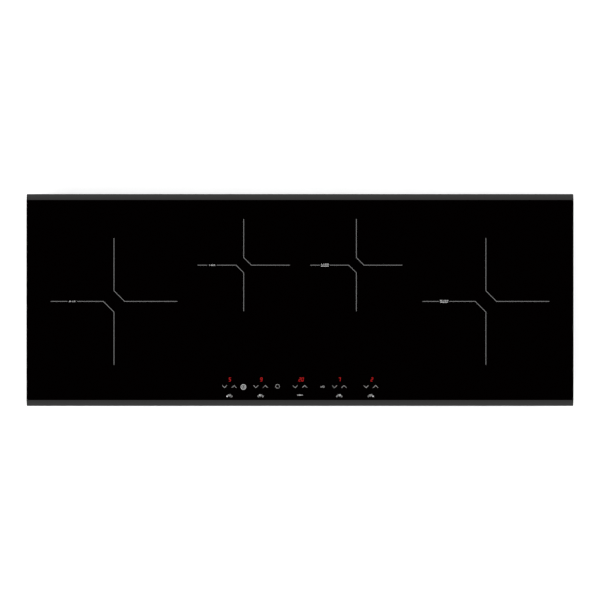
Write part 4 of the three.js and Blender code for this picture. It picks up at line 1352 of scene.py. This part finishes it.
def cross_paths(x, y, reach, corner, label):
    """Label gives how far left of the middle the gap in the left arm starts and ends."""
    far, near = label
    return [
        [(x, y + reach), (x, y + corner), (x + corner, y), (x + reach, y)],
        [(x - reach, y), (x - far, y)],
        [(x - near, y), (x - corner, y), (x, y - corner), (x, y - reach)],
    ]


for name, mark in zone_marks.items():
    make_print(f"zone_mark_{name}", cross_paths(**mark), zone_line, zone_enamel)

# %% [markdown]
# ## Plain numbers
# The numbers are set in simple upright strokes, each digit one or two paths on a grid
# of two by four.

# %% Print the zone numbers
digit_paths = {
    "0": [([(0, 0), (2, 0), (2, 4), (0, 4)], True)],
    "1": [[(0.3, 3.2), (1.1, 4), (1.1, 0)], [(0.2, 0), (2, 0)]],
    "2": [[(0, 4), (2, 4), (2, 2), (0, 2), (0, 0), (2, 0)]],
    "4": [[(1.5, 0), (1.5, 4), (0, 1.2), (2.3, 1.2)]],
    "5": [[(2, 4), (0, 4), (0, 2), (2, 2), (2, 0), (0, 0)]],
}
number_height = 1.2
number_width = 2.2
number_line = 0.45 * MM


def number_paths(text, x, y, step):
    """The paths of a number centred on a point, its digits a step apart."""
    unit = number_height / 4
    paths = []
    for i, character in enumerate(text):
        left = x + (i - (len(text) - 1) / 2) * step - number_width / 2
        for path in digit_paths[character]:
            ring = isinstance(path, tuple)
            corners = path[0] if ring else path
            points = [(left + u * number_width / 2, y + (v - 2) * unit) for u, v in corners]
            paths.append((points, True) if ring else points)
    return paths


zone_numbers = {
    "left_large": [("210", 0, 3.7)],
    "left_small": [("150", 0, 3.7)],
    "right_small": [("1400", 1.5, 3.6), ("2000", -1.5, 3.2)],
    "right_large": [("2100", 1.3, 3.6), ("2500", -1.3, 3.2)],
}
for name, rows in zone_numbers.items():
    mark = zone_marks[name]
    middle = mark["x"] - sum(mark["label"]) / 2
    paths = []
    for text, shift, step in rows:
        paths += number_paths(text, middle, mark["y"] + shift, step)
    make_print(f"zone_number_{name}", paths, number_line)

# %% [markdown]
# ## The touch keys
# Each key is only a sign on the glass. Arrows down and up stand on both sides of every
# column, with a ring key, a second ring, and a small key sign between the columns. Below
# them, four little rings show which zone a column belongs to: that ring is filled.

# %% Print the key signs
columns = {
    "left_large": -116.3,
    "left_small": -64.8,
    "timer": 0.0,
    "right_small": 64.6,
    "right_large": 116.5,
}
arrow_y = -142.45
arrow_half_pitch = 7.8
arrow_half_width = 3.9
arrow_half_height = 1.95


def arrow_path(x, upwards):
    rise = arrow_half_height if upwards else -arrow_half_height
    ends = arrow_y - rise
    return [(x - arrow_half_width, ends), (x, arrow_y + rise), (x + arrow_half_width, ends)]


for name, x in columns.items():
    arrows = [arrow_path(x - arrow_half_pitch, False), arrow_path(x + arrow_half_pitch, True)]
    make_print(f"arrow_keys_{name}", arrows, sign_line)

double_ring = (-93.1, -143.0)
make_print("double_ring_key", [(arc(*double_ring, 4.0), True)], 0.9 * MM)
make_print("double_ring_key_middle", [(arc(*double_ring, 1.9), True)], 0.7 * MM)

power_x, power_y = (-36.9, -142.1)
power_ring = arc(power_x, power_y, 3.2, start=-72, end=252)
power_bar = [(power_x, power_y - 3.6), (power_x, power_y - 1.9)]
make_print("power_key", [power_ring, power_bar], fine_line)

lock_x, lock_y = (38.7, -142.6)
lock_bow = (arc(lock_x, lock_y, 1.4), True)
lock_shaft = [(lock_x - 4.9, lock_y), (lock_x - 1.3, lock_y)]
lock_teeth = [[(lock_x - u, lock_y), (lock_x - u, lock_y - 1.3)] for u in (4.7, 3.6)]
make_print("lock_key", [lock_bow, lock_shaft, *lock_teeth], fine_line)

# %% [markdown]
# ## Signs below the keys
# A little plan of the hob tells which zone a column belongs to: four rings, and a stroke
# in the middle for the controls. A filled ring is a disc, so it needs a round dab of ink
# as well as lines. The timer's sign is a small ring between two bars.

# %% Print the signs
sign_y = -157.3
ring_places = [(-3.65, -1.15), (-1.35, 0.9), (1.35, 0.9), (3.65, -1.15)]
column_of_ring = ["left_large", "left_small", "right_small", "right_large"]
ring_radius = 1.1


def ink_dab(name, x, y, radius):
    """A round dab of ink."""
    shape = bmesh.new()
    spot = Matrix.Translation((x * MM, y * MM, ink_level + ink_thickness / 2))
    size = {"radius1": radius * MM, "radius2": radius * MM, "depth": ink_thickness}
    bmesh.ops.create_cone(shape, cap_ends=True, segments=32, matrix=spot, **size)
    make_piece(name, shape, finish=sign_enamel)


for chosen, name in enumerate(column_of_ring):
    x = columns[name]
    rings = [place for i, place in enumerate(ring_places) if i != chosen]
    paths = [(arc(x + u, sign_y + v, ring_radius), True) for u, v in rings]
    paths.append([(x, sign_y - 0.4), (x, sign_y - 2.2)])
    make_print(f"zone_sign_{name}", paths, fine_line)
    u, v = ring_places[chosen]
    ink_dab(f"zone_sign_{name}_chosen", x + u, sign_y + v, ring_radius + 0.15)

timer_sign_y = -156.4
timer_bars = [[(side * 4.6, timer_sign_y), (side * 1.9, timer_sign_y)] for side in (-1, 1)]
make_print("timer_sign", [(arc(0, timer_sign_y, 0.75), True), *timer_bars], 0.8 * MM)

# %% [markdown]
# ## Lit digits
# A seven-segment digit is seven bars with slanting ends, and it leans to the right. Each
# bar starts as one flat face. An inset takes half the gap off all round it, the rim is
# deleted, and the rest is raised to the thickness of the print.

# %% Outlines of the bars
digit_width = 2.75
digit_height = 5.45
bar_width = 0.95
bar_gap = 0.14
digit_gap = 0.75
digit_slant = math.tan(math.radians(8))
digit_y = -130.72

half_bar = bar_width / 2
side_middle = digit_width / 2
side_out, side_in = side_middle + half_bar, side_middle - half_bar
end_out, end_in = digit_height / 2 + half_bar, digit_height / 2 - half_bar
top_bar = [(-side_out, end_out), (side_out, end_out), (side_in, end_in), (-side_in, end_in)]
side_bar = [(side_out, end_out), (side_out, 0), (side_middle, 0)]
side_bar += [(side_in, half_bar), (side_in, end_in)]
waist_bar = [(-side_middle, 0), (-side_in, half_bar), (side_in, half_bar)]
waist_bar += [(side_middle, 0), (side_in, -half_bar), (-side_in, -half_bar)]
bars = {
    "a": (top_bar, 1, 1),
    "b": (side_bar, 1, 1),
    "c": (side_bar, 1, -1),
    "d": (top_bar, 1, -1),
    "e": (side_bar, -1, -1),
    "f": (side_bar, -1, 1),
    "g": (waist_bar, 1, 1),
}
lit_bars = {"0": "abcdef", "2": "abged", "5": "afgcd", "7": "abc", "9": "abcdfg"}


# %% Light the digits
def make_reading(name, text, x):
    """A lit number centred on a place along the front of the glass."""
    shape = bmesh.new()
    step = digit_width + bar_width + digit_gap
    faces = []
    for i, character in enumerate(text):
        middle = (i - (len(text) - 1) / 2) * step
        for letter in lit_bars[character]:
            outline, mirror_x, mirror_y = bars[letter]
            places = [((middle + mirror_x * u) * MM, mirror_y * v * MM, 0) for u, v in outline]
            corners = [shape.verts.new(place) for place in places]
            faces += bmesh.ops.contextual_create(shape, geom=corners)["faces"]
    rims = bmesh.ops.inset_individual(shape, faces=faces, thickness=bar_gap / 2 * MM)["faces"]
    bmesh.ops.delete(shape, geom=rims, context="FACES")
    thicken(shape, faces, ink_thickness)
    slant = Matrix(((1, digit_slant, 0), (0, 1, 0), (0, 0, 1)))
    bmesh.ops.transform(shape, matrix=slant.to_4x4(), verts=shape.verts)
    make_piece(name, move(shape, (x * MM, digit_y * MM, ink_level)), finish=digit_finish)


readings = {
    "left_large": ("5", -115.3),
    "left_small": ("9", -63.7),
    "timer": ("20", 2.0),
    "right_small": ("7", 64.9),
    "right_large": ("2", 118.4),
}
for name, (text, x) in readings.items():
    make_reading(f"reading_{name}", text, x)

# %% [markdown]
# ## The stage
# A pale floor and an even sky light the hob plainly. The plate is a mirror, and seen
# from straight above it would show the sky, so the sky has a soft dark patch overhead
# for mirrored rays, as a photographer hangs a black card above polished black glass.
# The sloping edges look past that patch and pick up the white around it.

# %% Sky
world = bpy.data.worlds.new("sky")
scene.world = world
world.use_nodes = True
sky = Tree(world.node_tree)
backdrop = world.node_tree.nodes["Background"]
seen, mirrored, through = sky.rays()
direction = sky.node("ShaderNodeTexCoord", output="Generated")
height = sky.node("ShaderNodeSeparateXYZ", None, {"Vector": direction}, "Z")
card_edge = math.cos(math.radians(26))
card_middle = math.cos(math.radians(14))
card = sky.band(height, card_edge, card_middle)
plain_light = 0.55
strength = (seen + mirrored + through) * (1 - plain_light) + plain_light
sky.plug(backdrop.inputs["Strength"], strength * (1 - card * mirrored))
sky.plug(backdrop.inputs["Color"], (1, 1, 1, 1))
print("sky ready")

# %% [markdown]
# ## Floor, lamps and camera
# The floor is a plain white sheet that takes the hob's shadow. To the camera and to
# mirrored rays it adds the little light that brings plain white up to paper white. Seen
# from below it steps aside, and so it does for light that starts on the casing's own
# underside, so that the underside can be looked at. Far out, where the lamps hardly
# reach, it adds a little more, so that it meets the sky without an edge.

# %% Floor
pale = (0.86, 0.86, 0.86)
floor_finish = Finish("floor", base_color=pale, roughness=0.9, specular_ior_level=0.0)
seen, mirrored, through = floor_finish.rays()
paper = seen * 0.47 + (mirrored + through) * 0.24
spot = floor_finish.place()
distance = floor_finish.node("ShaderNodeVectorMath", {"operation": "LENGTH"}, {0: spot}, "Value")
far_out = floor_finish.band(distance, 1.0, 3.0, 1.0, 1.15)
from_below = floor_finish.node("ShaderNodeNewGeometry", output="Backfacing")
not_touching = floor_finish.node("ShaderNodeLightPath", output="Ray Length") > 1 * MM
floor_finish.give(
    emission_color=(1, 1, 1),
    emission_strength=paper * far_out,
    alpha=(1 - from_below) * not_touching,
)

floor_size = 12
sheet = bmesh.new()
bmesh.ops.create_grid(sheet, x_segments=1, y_segments=1, size=floor_size / 2)
move(sheet, (0, 0, cad_low.z))
floor_mesh = bpy.data.meshes.new("floor")
sheet.to_mesh(floor_mesh)
sheet.free()
floor_mesh.materials.append(floor_finish.material)
floor = bpy.data.objects.new("floor", floor_mesh)
scene.collection.objects.link(floor)


# %% Lamps
def add_lamp(name, place, size, power):
    """A square soft lamp that points at the hob and isn't mirrored in it."""
    lamp = bpy.data.lights.new(name, "AREA")
    lamp.size = size
    lamp.energy = power
    stand = bpy.data.objects.new(name, lamp)
    stand.location = place
    stand.rotation_euler = (-Vector(place)).to_track_quat("-Z", "Y").to_euler()
    stand.visible_glossy = False
    scene.collection.objects.link(stand)


add_lamp("key_lamp", (-1.2, -1.0, 2.3), 1.8, 30)
add_lamp("fill_lamp", (1.5, 1.0, 2.0), 1.8, 18)

# %% Camera
photo_width = 600
millimetres_per_pixel = 1.64496
camera_height = 3.0
sensor = 36.0
view_width = photo_width * millimetres_per_pixel * MM
camera_data = bpy.data.cameras.new("camera")
camera_data.sensor_width = sensor
camera_data.lens = sensor * camera_height / view_width
camera = bpy.data.objects.new("camera", camera_data)
camera.location = (0, 0, glass_high.z + camera_height)
scene.collection.objects.link(camera)
scene.camera = camera
scene.view_settings.view_transform = "Standard"
print("lens", round(camera_data.lens, 1), "mm, straight above the glass")
